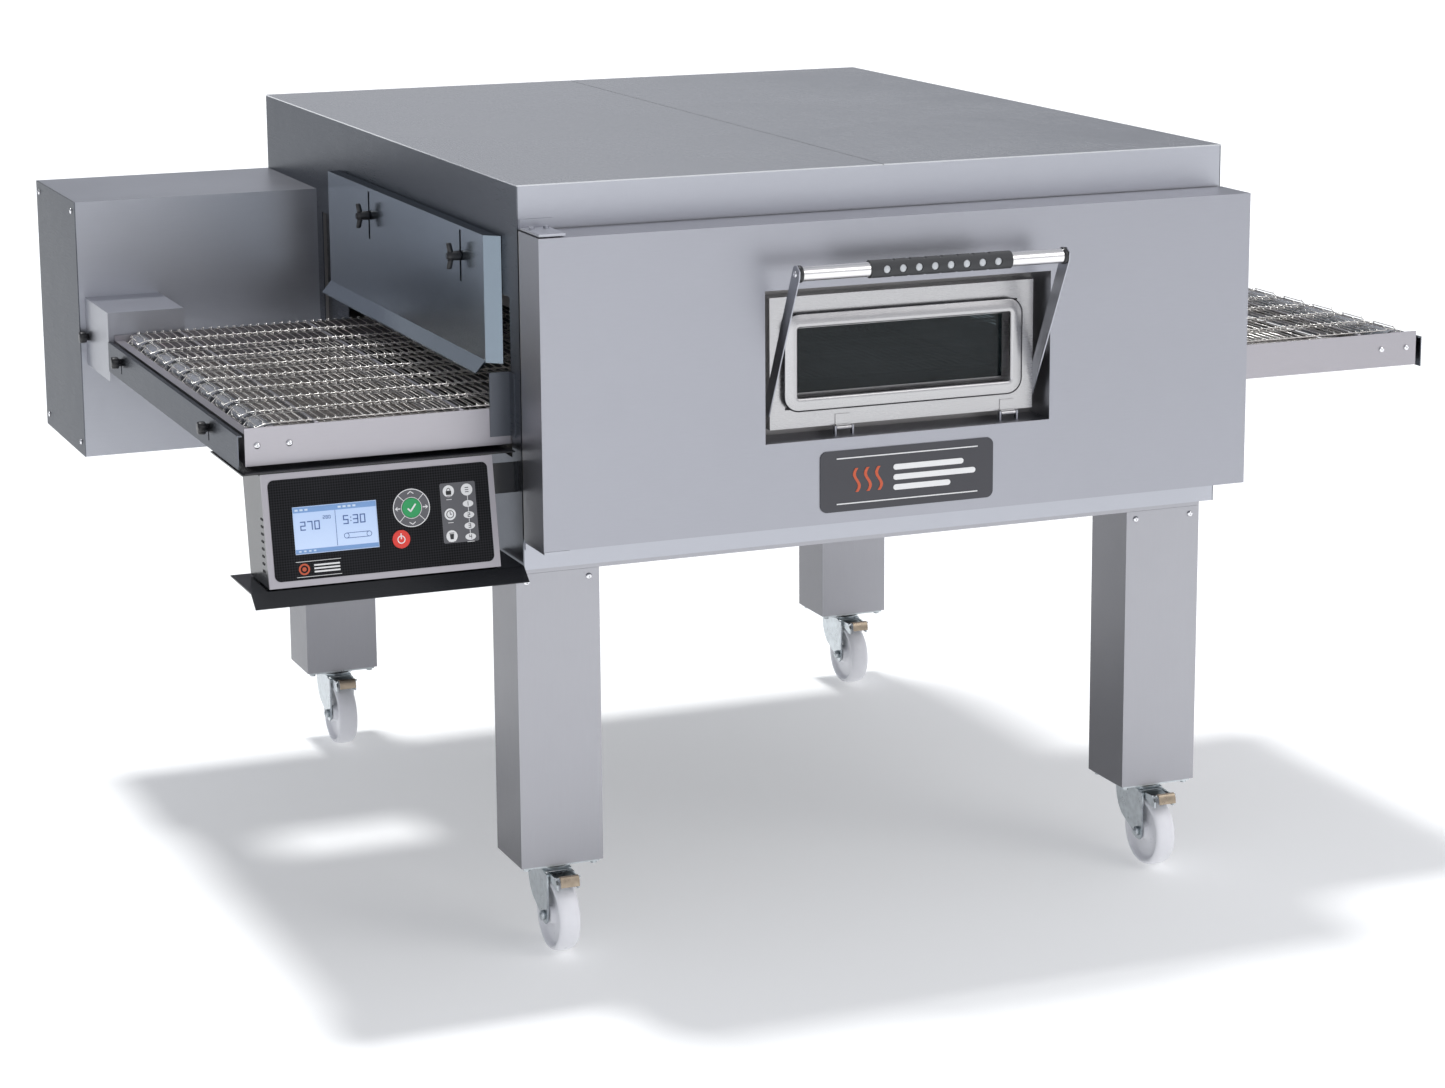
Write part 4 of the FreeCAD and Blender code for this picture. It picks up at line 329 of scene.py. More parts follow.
GOLD = plain_metal("passivated_plate", (0.40, 0.33, 0.25), 0.30, 0.14, 60.0, 0.1)
DOME = plain_metal("screw_plate", (0.80, 0.80, 0.82), 0.20, 0.05, 90.0, 0.03)
NYLON = plastic("white_nylon", (0.88, 0.88, 0.91), 0.32, 0.06, 120.0, 0.03, 0.15)
BLACK = plastic("black_plastic", (0.014, 0.014, 0.016), 0.36, 0.12, 260.0, 0.2)
RUBBER = plastic("grip_rubber", (0.030, 0.031, 0.034), 0.58, 0.3, 420.0, 0.22)
FOIL = carbon_foil("carbon_foil")
KEY_GREY = plastic("key_field", (0.10, 0.10, 0.11), 0.45, 0.08, 500.0, 0.1)
SCREEN = lit_screen("lit_screen")
GREEN = plastic("green_key_cap", (0.012, 0.30, 0.09), 0.34, 0.08, 300.0, 0.06, 0.2)
RED = plastic("red_key_cap", (0.70, 0.035, 0.022), 0.34, 0.08, 300.0, 0.06, 0.2)
GLASS = oven_glass("smoked_glass")
WHITE_INK = ink("white_ink", (0.80, 0.80, 0.80))
BLUE_INK = ink("blue_ink", (0.06, 0.13, 0.36))
DARK_INK = ink("dark_ink", (0.02, 0.02, 0.022))
RED_INK = ink("ember_ink", (0.55, 0.09, 0.03))
PLATE = brushed("anodised_plate", (0.075, 0.075, 0.082), (1, 50, 50), 0.34, 0.05)
WOOL = plastic("mineral_wool", (0.60, 0.55, 0.42), 0.9, 0.9, 90.0, 0.3)
BEAD = plastic("woven_bead", (0.30, 0.29, 0.27), 0.85, 0.8, 160.0, 0.3)
CAST = plastic("motor_paint", (0.07, 0.075, 0.08), 0.5, 0.3, 120.0, 0.2)
# Painted shade: a near-black finish standing in for the dark inside of the vent slots.
SHADOW = plastic("slot_painted_shade", (0.006, 0.006, 0.007), 0.7, 0.1, 300.0, 0.3)

FINISHES = {
    STEEL: ["front_frame", "door_pivots", "coupling_cover", "handle_arms", "electrical_box"],
    STEEL_DOOR: ["front_door_shell"],
    STEEL_TOP: ["top_covers"],
    SHADED_STEEL_SIDE: ["side_panels", "back_and_floor", "electrical_box_lid", "tunnel_fittings",
                 "end_guard_left", "end_guard_right"],
    STEEL_LEG: ["stand"],
    STEEL_RAIL: ["conveyor_rails", "conveyor_frame", "control_bezel"],
    STEEL_BAFFLE: ["entry_baffle", "exit_baffle"],
    STEEL_HATCH: ["hatch_frame"],
    BLUED: ["control_housing", "control_shields"],
    LINER: ["baking_chamber", "air_ducts", "fan", "front_door_liner"],
    POLISHED: ["handle_bar"],
    BELT_WIRE: ["conveyor_belt"],
    ROLLER: ["drive_shaft", "idler_shaft"],
    ZINC: ["caster_plates"] + [kind + c for c in CORNERS
                               for kind in ("caster_fork_", "brake_pedal_")],
    DOME: ["screws"],
    NYLON: ["caster_wheel_" + c for c in CORNERS],
    BLACK: ["thumb_knobs", "cable_gland"] + ["wing_knob_%d" % i for i in (1, 2, 3, 4)],
    RUBBER: ["handle_grip"],
    FOIL: ["keypad_overlay"],
    SCREEN: ["display"],
    GREEN: ["ok_key"],
    RED: ["start_stop_key"],
    GLASS: ["hatch_glass"],
    PLATE: ["name_plate"],
    WOOL: ["insulation"],
    BEAD: ["door_gasket"],
    CAST: ["motors"],
}


def finish_nodes():
    for material, names in FINISHES.items():
        for name in names:
            mesh = nodes[name]
            if not mesh.material_slots:
                mesh.data.materials.append(material)
            for holder in mesh.material_slots:
                holder.material = material


finish_nodes()


# ---------------------------------------------------------------- mesh helpers

def stand_in(name, mesh, *materials, smooth=False):
    """An unturned object at the origin that holds a mesh and its finishes."""
    for material in materials:
        mesh.materials.append(material)
    if smooth:
        mesh.shade_smooth()
    piece = bpy.data.objects.new(name, mesh)
    scene.collection.objects.link(piece)
    return piece


def outward(name, bm, material, smooth=False):
    """Closes a drawn shell: its faces turned outwards, its mesh made an object."""
    bmesh.ops.recalc_face_normals(bm, faces=bm.faces)
    mesh = bpy.data.meshes.new(name)
    bm.to_mesh(mesh)
    bm.free()
    return stand_in(name, mesh, material, smooth=smooth)


def new_piece(name, verts, faces, material, smooth=False, turn_out=False):
    mesh = bpy.data.meshes.new(name)
    mesh.from_pydata([tuple(v) for v in verts], [], faces)
    mesh.validate()
    if turn_out:
        bm = bmesh.new()
        bm.from_mesh(mesh)
        bmesh.ops.recalc_face_normals(bm, faces=bm.faces)
        bm.to_mesh(mesh)
        bm.free()
    return stand_in(name, mesh, material, smooth=smooth)


def slab(name, low, high, material):
    """A plain block between two corners."""
    (x0, y0, z0), (x1, y1, z1) = low, high
    verts = [(x, y, z) for z in (z0, z1) for x, y in ((x0, y0), (x1, y0), (x1, y1), (x0, y1))]
    return new_piece(name, verts, [(3, 2, 1, 0), (4, 5, 6, 7), (0, 1, 5, 4), (1, 2, 6, 5),
                                   (2, 3, 7, 6), (3, 0, 4, 7)], material)


def lathe(name, profile, material, steps=48, place=Matrix()):
    """A turned piece about local Z from (radius, height) points, bottom to top, ends closed."""
    bm = bmesh.new()
    rings = []
    for r, h in profile:
        if r < 1e-6:
            rings.append([bm.verts.new(place @ Vector((0, 0, h)))])
        else:
            rings.append([bm.verts.new(place @ Vector((r * math.cos(a), r * math.sin(a), h)))
                          for a in (2 * math.pi * i / steps for i in range(steps))])
    for lower, upper in zip(rings, rings[1:]):
        for i in range(steps):
            j = (i + 1) % steps
            if len(lower) == 1 and len(upper) > 1:
                bm.faces.new((lower[0], upper[j], upper[i]))
            elif len(upper) == 1 and len(lower) > 1:
                bm.faces.new((lower[i], lower[j], upper[0]))
            elif len(lower) > 1:
                bm.faces.new((lower[i], lower[j], upper[j], upper[i]))
    if len(rings[0]) > 1 and len(rings[-1]) > 1 and profile[0] == profile[-1]:
        bmesh.ops.remove_doubles(bm, verts=bm.verts, dist=1e-7)
    return outward(name, bm, material, True)


def crisp(piece, width=0.0006, segments=2, angle=35):
    """Small rounded edges with clean shading."""
    bevel = piece.modifiers.new("edge", "BEVEL")
    bevel.width = width
    bevel.segments = segments
    bevel.limit_method = "ANGLE"
    bevel.angle_limit = math.radians(angle)
    bevel.harden_normals = True
    piece.data.shade_smooth()
    return piece


def joined(name, parts):
    """Several loose pieces as one mesh."""
    bm = bmesh.new()
    materials = []
    for part in parts:
        start = len(bm.faces)
        bm.from_mesh(part.data)
        bm.faces.ensure_lookup_table()
        material = part.data.materials[0]
        if material not in materials:
            materials.append(material)
        for face in bm.faces[start:]:
            face.material_index = materials.index(material)
    mesh = bpy.data.meshes.new(name)
    bm.to_mesh(mesh)
    bm.free()
    for part in parts:
        bpy.data.objects.remove(part)
    return stand_in(name, mesh, *materials)


def islands(name):
    """Low and high corners of each separate lump of a CAD node."""
    bm = bmesh.new()
    bm.from_mesh(nodes[name].data)
    bmesh.ops.remove_doubles(bm, verts=bm.verts, dist=1e-5)
    seen, found = set(), []
    for first in bm.verts:
        if first in seen:
            continue
        group, stack = [], [first]
        seen.add(first)
        while stack:
            v = stack.pop()
            group.append(v.co.copy())
            for edge in v.link_edges:
                other = edge.other_vert(v)
                if other not in seen:
                    seen.add(other)
                    stack.append(other)
        low = Vector([min(c[i] for c in group) for i in range(3)])
        high = Vector([max(c[i] for c in group) for i in range(3)])
        found.append((low, high))
    bm.free()
    return found


def rests_on(piece, body, slot, *replaced):
    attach(piece, body)
    if replaced:
        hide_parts(*replaced)


def seat(low, high, axis, way):
    """Where a knob or screw meets its panel, and the way it faces; way is -1 or 1."""
    root = (low + high) / 2
    root[axis] = high[axis] if way < 0 else low[axis]
    facing = Vector((0, 0, 0))
    facing[axis] = way
    return root, facing


# ---------------------------------------------------------------- growing by rule

class Rule(Tree):
    """A geometry tree with named inputs."""

    KINDS = {float: "NodeSocketFloat", int: "NodeSocketInt",
             bpy.types.Material: "NodeSocketMaterial", bpy.types.Object: "NodeSocketObject"}

    def __init__(self, name, **inputs):
        self.group = bpy.data.node_groups.new(name, "GeometryNodeTree")
        super().__init__(self.group)
        sockets = self.group.interface
        sockets.new_socket("Geometry", in_out="INPUT", socket_type="NodeSocketGeometry")
        self.values = inputs
        self.keys = {}
        for key, value in inputs.items():
            kind = next(k for t, k in self.KINDS.items() if isinstance(value, t))
            self.keys[key] = sockets.new_socket(key, in_out="INPUT", socket_type=kind)
        sockets.new_socket("Geometry", in_out="OUTPUT", socket_type="NodeSocketGeometry")
        self.source = self.group.nodes.new("NodeGroupInput")

    def get(self, key):
        return Wire(self, self.source.outputs[key])

    def moved(self, geometry, **how):
        return self.node("GeometryNodeTransform", {}, {"Geometry": geometry, **how})

    def copies(self, points, shape, turn=None):
        return self.node("GeometryNodeInstanceOnPoints", {},
                         {"Points": points, "Instance": shape, "Rotation": turn})

    def row(self, count, pitch, z=0.0):
        """Points along X, centred on zero."""
        return self.node("GeometryNodeMeshLine", {}, {
            "Count": count, "Start Location": self.xyz((count - 1.0) * pitch * -0.5, 0.0, z),
            "Offset": self.xyz(pitch, 0.0, 0.0)})

    def rod(self, vertices, radius, depth, **more):
        return self.node("GeometryNodeMeshCylinder", {},
                         {"Vertices": vertices, "Radius": radius, "Depth": depth, **more},
                         out="Mesh")

    def close(self, geometry):
        solid = self.node("GeometryNodeRealizeInstances", {}, (geometry,))
        shaded = self.node("GeometryNodeSetMaterial", {}, {"Geometry": solid,
                                                          "Material": self.get("Material")})
        sink = self.group.nodes.new("NodeGroupOutput")
        self.group.links.new(shaded.socket, sink.inputs[0])

    def grow(self, name, base=None):
        """Runs the tree on a base mesh and keeps its result as a plain mesh."""
        seed = bpy.data.objects.new(name + "_seed", base or bpy.data.meshes.new(name + "_seed"))
        scene.collection.objects.link(seed)
        grower = seed.modifiers.new("rule", "NODES")
        grower.node_group = self.group
        for key, value in self.values.items():
            grower[self.keys[key].identifier] = value
        bpy.context.view_layer.update()
        ready = seed.evaluated_get(bpy.context.evaluated_depsgraph_get())
        mesh = bpy.data.meshes.new_from_object(ready)
        mesh.name = name
        bpy.data.objects.remove(seed)
        return stand_in(name, mesh)


def scatter(name, shape, places, material, smooth=True):
    """A copy of one shape at each (point, facing) place, its Z along facing."""
    mesh = bpy.data.meshes.new(name + "_places")
    mesh.from_pydata([tuple(p) for p, _ in places], [], [])
    facing = mesh.attributes.new("facing", "FLOAT_VECTOR", "POINT")
    for i, (_, way) in enumerate(places):
        facing.data[i].vector = way
    rule = Rule(name + "_rule", Shape=shape, Material=material)
    model = rule.node("GeometryNodeObjectInfo", {"transform_space": "ORIGINAL"},
                      {"Object": rule.get("Shape")}, out="Geometry")
    way = rule.node("GeometryNodeInputNamedAttribute", {"data_type": "FLOAT_VECTOR"},
                    {"Name": "facing"})
    turn = rule.node("FunctionNodeAlignRotationToVector", {"axis": "Z"}, {"Vector": way})
    rule.close(rule.copies(rule.get("Geometry"), model, turn))
    piece = rule.grow(name, mesh)
    bpy.data.objects.remove(shape)
    if smooth:
        piece.data.shade_smooth()
    return piece


# ---------------------------------------------------------------- wire belt

def wire_belt():
    """Hinged wire strands that follow the loop round both end rollers."""
    low, high = span("conveyor_belt")
    size = high - low
    rule = Rule("woven_belt", Length=size.x, Radius=size.z / 2, Width=size.y, Pitch=0.0145,
                Wire=0.0009, Pairs=8, Gap=0.030, Material=BELT_WIRE)
    wire = rule.get("Wire")
    radius = rule.get("Radius") - wire * 1.6
    loop = rule.node("GeometryNodeCurvePrimitiveQuadrilateral", {"mode": "RECTANGLE"},
                     {"Width": rule.get("Length") - wire * 3.2, "Height": radius * 2})
    loop = rule.node("GeometryNodeFilletCurve", {"mode": "POLY"}, {
        "Curve": loop, "Radius": radius * 0.999, "Limit Radius": True, "Count": 12})
    loop = rule.moved(loop, Rotation=(math.pi / 2, 0, 0))
    strands = (rule.get("Length") * 2 - radius * 0.86) / rule.get("Pitch")
    loop = rule.node("GeometryNodeResampleCurve", {}, {"Curve": loop, "Count": strands.floor()})
    along = rule.node("GeometryNodeInputTangent")
    turn = rule.node("FunctionNodeAlignRotationToVector", {"axis": "X", "pivot_axis": "Y"},
                     {"Vector": along})
    strand = rule.node("GeometryNodeCurvePrimitiveLine", {}, {})
    count = (rule.get("Pairs") * 2 + 2) * 4
    strand = rule.node("GeometryNodeResampleCurve", {}, {"Curve": strand, "Count": count})
    index = rule.node("GeometryNodeInputIndex") + 0.0
    row = (index / 4.0).floor()
    step = index % 4.0
    flip = row % 2.0
    hook = (step > 0.5) * 1.22 + (step > 1.5) * 0.08 - (step > 2.5) * 0.30
    side = flip + hook - flip * hook * 2.0
    pair = ((row - 1.0) / 2.0).floor()
    near = (row - 1.0) % 2.0
    wide = rule.get("Width") + 0.012
    across = ((pair + 1.0) * wide / (rule.get("Pairs") + 1.0) - wide / 2.0
              + (near - 0.5) * rule.get("Gap") + (step - 1.5) * 0.0026)
    lift = (step > 0.5) * wire * 2.0 - (step > 1.5) * wire * 3.6 + (step > 2.5) * wire * 1.6
    strand = rule.node("GeometryNodeSetPosition", {}, {
        "Geometry": strand, "Position": rule.xyz(side * rule.get("Pitch"), across, lift)})
    profile = rule.node("GeometryNodeCurvePrimitiveCircle", {}, {"Resolution": 4, "Radius": wire})
    strand = rule.node("GeometryNodeCurveToMesh", {}, {"Curve": strand, "Profile Curve": profile})
    rule.close(rule.moved(rule.copies(loop, strand, turn), Translation=(low + high) / 2))
    belt = rule.grow("wire_belt")
    belt.data.shade_smooth()
    rests_on(belt, "oven", "belt_wire", "conveyor_belt")


def soot_and_shade_trays():
    """Dark film on the crumb trays under the two open ends of the belt: partly baked-on soot,
    partly painted shade under the belt.
    """
    belt_low, belt_high = span("conveyor_belt")
    body_low, body_high = span("side_panels")
    top = span("conveyor_rails")[0].z + 0.0036
    inset = 0.012
    trays = []
    for x0, x1 in ((belt_low.x + inset, body_low.x - 0.004),
                   (body_high.x + 0.004, belt_high.x - inset)):
        trays.append(slab("film", (x0, belt_low.y + inset, top + 0.0001),
                          (x1, belt_high.y - inset, top + 0.0005), BAKED_SOOT_AND_SHADE))
    rests_on(joined("baked_film", trays), "oven", "steel_dark")


wire_belt()
soot_and_shade_trays()


# ---------------------------------------------------------------- screws and knobs

def dome_screw():
    """Low dome with a shallow round recess."""
    return lathe("dome_shape", [(0, 0.0002), (0.0053, 0.0002), (0.0055, 0.0008), (0.0052, 0.0016),
                                (0.0042, 0.0025), (0.0026, 0.0031), (0.0013, 0.0033),
                                (0.0011, 0.0022), (0, 0.0020)], DOME, 20)


def dome_screws():
    middle = sum((Vector(c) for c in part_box("top_covers")), Vector()) / 2
    places = []
    for low, high in islands("screws"):
        size = high - low
        axis = min(range(3), key=lambda i: size[i])
        way = -1.0 if (low + high)[axis] / 2 < middle[axis] else 1.0
        places.append(seat(low, high, axis, way))
    screws = scatter("dome_screws", dome_screw(), places, DOME)
    rests_on(screws, "oven", "polished", "screws")


dome_screws()


def fluted_knob_shape(radius, height):
    """Black clamp knob with round flutes and a domed face."""
    bm = bmesh.new()
    steps = 60
    layers = [(0.50, 0.0), (0.62, 0.02), (0.62, 0.22), (0.94, 0.30), (1.0, 0.40), (1.0, 0.82),
              (0.93, 0.95), (0.60, 1.0), (0.0, 1.0)]
    rings = []
    for share, up in layers:
        ring = []
        for i in range(steps):
            a = 2 * math.pi * i / steps
            flute = 1.0 - (0.11 * max(0.0, math.cos(6 * a)) if share > 0.9 else 0.0)
            r = radius * share * flute
            ring.append(bm.verts.new((r * math.cos(a), r * math.sin(a), height * up)))
        rings.append(ring)
    for lower, upper in zip(rings, rings[1:]):
        for i in range(steps):
            j = (i + 1) % steps
            bm.faces.new((lower[i], lower[j], upper[j], upper[i]))
    bm.faces.new(list(reversed(rings[0])))
    bmesh.ops.remove_doubles(bm, verts=bm.verts, dist=1e-6)
    return outward("fluted_shape", bm, BLACK)


def guard_knobs():
    places = []
    for low, high in islands("thumb_knobs"):
        size = high - low
        axis = 0 if abs(size.y - size.z) < 0.001 else 1
        middle = 0.0 if axis == 0 else -0.2
        way = -1.0 if (low + high)[axis] / 2 < middle else 1.0
        places.append(seat(low, high, axis, way))
    knobs = scatter("clamp_knobs", fluted_knob_shape(0.0109, 0.018), places, BLACK)
    rests_on(knobs, "oven", "black_plastic", "thumb_knobs")


def wing_knob(index):
    """Two winged clamp knob with a pointed cap, its wings upright."""
    name = "wing_knob_%d" % index
    low, high = span(name)
    centre = (low + high) / 2
    way = -1.0 if centre.x < 0 else 1.0
    length = high.x - low.x
    root = high.x if way < 0 else low.x
    place = Matrix.Translation((root, centre.y, centre.z)) @ Matrix.Rotation(
        way * math.pi / 2, 4, "Y")
    hub = lathe("hub", [(0.0047, 0.0), (0.0078, 0.0), (0.0084, 0.0015), (0.0076, length * 0.5),
                        (0.0078, length * 0.72), (0.0070, length * 0.86), (0.0050, length * 0.95),
                        (0.0047, length), (0.0047, 0.0)], BLACK, 32, place)
    half = (high.z - low.z) / 2
    around = 12
    wings = []
    for sign in (1, -1):
        verts, faces = [], []
        stations = [(0.0045, 0.0050, 0.44, 0.92), (0.0095, 0.0040, 0.50, 0.92),
                    (0.0150, 0.0034, 0.56, 0.98), (0.0195, 0.0030, 0.60, 1.0),
                    (half * 0.99, 0.0018, 0.68, 0.98)]
        for reach, thick, start, stop in stations:
            for k in range(around):
                a = 2 * math.pi * k / around
                along = length * ((start + stop) / 2 + (stop - start) / 2 * math.cos(a))
                verts.append((root + way * along, centre.y + thick * math.sin(a),
                              centre.z + sign * reach))
        for s in range(len(stations) - 1):
            near, far = s * around, (s + 1) * around
            for k in range(around):
                n = (k + 1) % around
                faces.append((near + k, near + n, far + n, far + k))
        faces.append(tuple(range(around)))
        faces.append(tuple(range(len(verts) - around, len(verts))))
        wings.append(new_piece("wing", verts, faces, BLACK, True, True))
    knob = joined("winged_clamp_%d" % index, [hub] + wings)
    knob.data.shade_smooth()
    rests_on(knob, name, "black_plastic", name)


guard_knobs()
for knob_number in (1, 2, 3, 4):
    wing_knob(knob_number)


# ---------------------------------------------------------------- casters

def caster_wheel(corner):
    """White nylon wheel: rounded tread, dished web and a raised hub."""
    node = "caster_wheel_" + corner
    low, high = span(node)
    centre = (low + high) / 2
    r = (high.z - low.z) / 2
    w = (high.x - low.x) / 2
    side = [(0.0054, -w), (0.0120, -w), (0.0150, -w * 0.96), (0.0165, -w * 0.62),
            (0.0200, -w * 0.50), (r * 0.72, -w * 0.50), (r * 0.80, -w * 0.60),
            (r * 0.835, -w * 0.86), (r * 0.87, -w * 0.97), (r * 0.92, -w * 0.98),
            (r * 0.965, -w * 0.82), (r * 0.992, -w * 0.50), (r, -w * 0.16)]
    profile = side + [(a, -b) for a, b in reversed(side)] + [side[0]]
    place = Matrix.Translation(centre) @ Matrix.Rotation(math.pi / 2, 4, "Y")
    wheel = lathe("nylon_wheel_" + corner, profile, NYLON, 72, place)
    rests_on(wheel, "wheel_" + corner, "nylon", node)
    low, high = span("caster_fork_" + corner)
    mid = (low + high) / 2
    ring = lathe("swivel_ring_" + corner, [
        (0.022, 0.0), (0.0372, 0.0), (0.0384, 0.0022), (0.0384, 0.0060), (0.0365, 0.0085),
        (0.022, 0.0085), (0.022, 0.0)], BLACK, 48,
        Matrix.Translation((mid.x, centre.y + 0.038, high.z - 0.0085)))
    rests_on(ring, "swivel_" + corner, "black_plastic")
    places = [(Vector((centre.x + s * (w + 0.006), centre.y, centre.z)), Vector((s, 0, 0)))
              for s in (-1, 1)]
    nuts = scatter("axle_nuts_" + corner, hex_nut(0.0088, 0.0072), places, ZINC, False)
    rests_on(nuts, "swivel_" + corner, "zinc")


def tread_lip(corner):
    """Plated tread folded over the raised end of the brake pedal."""
    low, high = span("brake_pedal_" + corner)
    pivot_y, pivot_z = low.y + 0.048, high.z - 0.010
    fold = [(-0.0270, 0.0040), (-0.0340, 0.0040), (-0.0450, 0.0118), (-0.0500, 0.0108),
            (-0.0535, 0.0040), (-0.0545, -0.0060), (-0.0525, -0.0062), (-0.0512, 0.0036),
            (-0.0486, 0.0088), (-0.0455, 0.0096), (-0.0345, 0.0020), (-0.0270, 0.0020)]
    verts = [(x, pivot_y + y, pivot_z + z) for x in (low.x + 0.0035, high.x - 0.0035)
             for y, z in fold]
    n = len(fold)
    faces = [(i, (i + 1) % n, n + (i + 1) % n, n + i) for i in range(n)]
    faces += [tuple(range(n)), tuple(range(2 * n - 1, n - 1, -1))]
    lip = new_piece("tread_lip_" + corner, verts, faces, GOLD, False, True)
    rests_on(crisp(lip, 0.0005), "pedal_" + corner, "brake_gold")


def hex_nut(radius, height):
    return lathe("nut_shape", [(0, 0), (radius, 0), (radius, height * 0.82),
                               (radius * 0.84, height), (radius * 0.46, height),
                               (radius * 0.42, height * 1.18), (0, height * 1.22)], ZINC, 6)


for corner_name in CORNERS:
    caster_wheel(corner_name)
    tread_lip(corner_name)


# ---------------------------------------------------------------- hatch handle

GRIP_HOLES = 8
GRIP_PITCH = 0.0283


def perforated_grip():
    """Rubber sleeve on the bar with a row of round holes and a notch between each two."""
    low, high = span("handle_grip")
    centre = (low + high) / 2
    radius = (high.z - low.z) / 2 * 0.97
    rule = Rule("grip_rule", Length=high.x - low.x, Radius=radius, Holes=GRIP_HOLES,
                Pitch=GRIP_PITCH, Hole=0.0066, Notch=0.0042, Material=RUBBER)
    pitch, holes = rule.get("Pitch"), rule.get("Holes")
    lying = (math.pi / 2, 0, 0)
    solid = rule.moved(rule.rod(64, rule.get("Radius"), rule.get("Length"),
                                **{"Side Segments": 24}), Rotation=(0, math.pi / 2, 0))
    hole = rule.moved(rule.rod(28, rule.get("Hole"), 0.05), Rotation=lying,
                      Translation=(0, -0.034, 0))
    notch = rule.moved(rule.rod(20, rule.get("Notch"), 0.014), Rotation=lying)
    cutters = [rule.copies(rule.row(holes, pitch), hole)]
    for edge in (1.1, -1.1):
        line = rule.row(holes - 1.0, pitch, rule.get("Radius") * edge)
        cutters.append(rule.copies(line, notch))
    for cutter in cutters:
        cutter = rule.node("GeometryNodeRealizeInstances", {}, (cutter,))
        solid = rule.node("GeometryNodeMeshBoolean", {"operation": "DIFFERENCE", "solver": "EXACT"},
                          {"Mesh 1": solid, "Mesh 2": cutter}, out="Mesh")
    rule.close(rule.moved(solid, Translation=centre))
    grip = rule.grow("perforated_grip")
    crisp(grip, 0.0012, 3, 38)
    rests_on(grip, "hatch", "grip", "handle_grip")
    middle = (GRIP_HOLES - 1) / 2
    places = [(Vector((centre.x + (i - middle) * GRIP_PITCH, centre.y - 0.0108, centre.z)),
               Vector((0, -1, 0))) for i in range(GRIP_HOLES)]
    pip = lathe("pip_shape", [(0, 0.0), (0.0063, 0.0), (0.0063, 0.0016), (0.0052, 0.0022),
                              (0, 0.0024)], INSERT, 24)
    pips = scatter("grip_inserts", pip, places, INSERT)
    rests_on(pips, "hatch", "polished")


def bar_end_rings():
    low, high = span("handle_bar")
    centre = (low + high) / 2
    r = (high.z - low.z) / 2
    rings = []
    for x, way in ((low.x, 1), (high.x, -1)):
        place = Matrix.Translation((x + way * 0.0006, centre.y, centre.z)) @ Matrix.Rotation(
            way * math.pi / 2, 4, "Y")
        rings.append(lathe("ring", [(r - 0.002, 0), (r + 0.0014, 0), (r + 0.0020, 0.0012),
                                    (r + 0.0020, 0.0052), (r + 0.0012, 0.0066), (r - 0.002, 0.0066),
                                    (r - 0.002, 0)], BLACK, 48, place))
    rests_on(joined("bar_end_rings", rings), "hatch", "black_plastic")
    places = [(Vector((x, centre.y, centre.z)), Vector((way, 0, 0)))
              for x, way in ((low.x - 0.0021, -1), (high.x + 0.0021, 1))]
    caps = scatter("bar_end_screws", dome_screw(), places, DOME)
    rests_on(caps, "hatch", "polished")


def window_bead():
    """Pressed round bead that frames the hatch window."""
    low, high = span("hatch_glass")
    face = span("hatch_frame")[0].y
    x0, x1, z0, z1 = low.x + 0.004, high.x - 0.004, low.z + 0.004, high.z - 0.004
    steps, corner = 8, 0.003
    rings = []
    for out, proud in ((0.0, -0.0010), (0.0008, 0.0022), (0.0030, 0.0040), (0.0075, 0.0044),
                       (0.0150, 0.0024), (0.0210, 0.0010), (0.0240, 0.0001)):
        loop = []
        for cx, cz, a0 in ((x1, z1, 0), (x0, z1, 90), (x0, z0, 180), (x1, z0, 270)):
            for k in range(steps + 1):
                a = math.radians(a0 + 90 * k / steps)
                loop.append((cx + (corner + out) * math.cos(a) - corner * (1 if cx == x1 else -1),
                             face - proud,
                             cz + (corner + out) * math.sin(a) - corner * (1 if cz == z1 else -1)))
        rings.append(loop)
    n = len(rings[0])
    verts = [v for loop in rings for v in loop]
    last = (len(rings) - 1) * n
    faces = [(r * n + i, r * n + (i + 1) % n, (r + 1) * n + (i + 1) % n, (r + 1) * n + i)
             for r in range(len(rings) - 1) for i in range(n)]
    faces += [(last + i, last + (i + 1) % n, (i + 1) % n, i) for i in range(n)]
    bead = new_piece("window_bead", verts, faces, STEEL_HATCH, True, True)
    rests_on(bead, "hatch", "steel")


perforated_grip()
bar_end_rings()
window_bead()


# ---------------------------------------------------------------- control panel

TILT = math.radians(11.2)
panel_low = span("control_bezel")[0]
PANEL = Matrix.Translation((panel_low.x, panel_low.y, panel_low.z + 0.004 * math.sin(TILT))) @ \
    Matrix.Rotation(-TILT, 4, "X")
FACE = -0.0012


def on_panel(u, v, proud=0.0):
    """Point on the keypad: u to the right, v up it, proud towards the front, all in millimetres."""
    return PANEL @ Vector((u / 1000, FACE - proud / 1000, v / 1000))


def flat_shape(name, outline, material, proud=0.0, thick=0.25, inner=()):
    """A thin printed or raised shape on the keypad from (u, v) points, open inside inner."""
    bm = bmesh.new()
    n = len(outline)
    front = [bm.verts.new(on_panel(u, v, proud + thick)) for u, v in outline]
    back = [bm.verts.new(on_panel(u, v, proud)) for u, v in outline]
    if inner:
        inner_front = [bm.verts.new(on_panel(u, v, proud + thick)) for u, v in inner]
        inner_back = [bm.verts.new(on_panel(u, v, proud)) for u, v in inner]
        for i in range(n):
            j = (i + 1) % n
            bm.faces.new((front[i], front[j], inner_front[j], inner_front[i]))
            bm.faces.new((back[j], back[i], inner_back[i], inner_back[j]))
            bm.faces.new((inner_front[i], inner_front[j], inner_back[j], inner_back[i]))
    else:
        bm.faces.new(front)
        bm.faces.new(list(reversed(back)))
    for i in range(n):
        j = (i + 1) % n
        bm.faces.new((front[j], front[i], back[i], back[j]))
    return outward(name, bm, material)


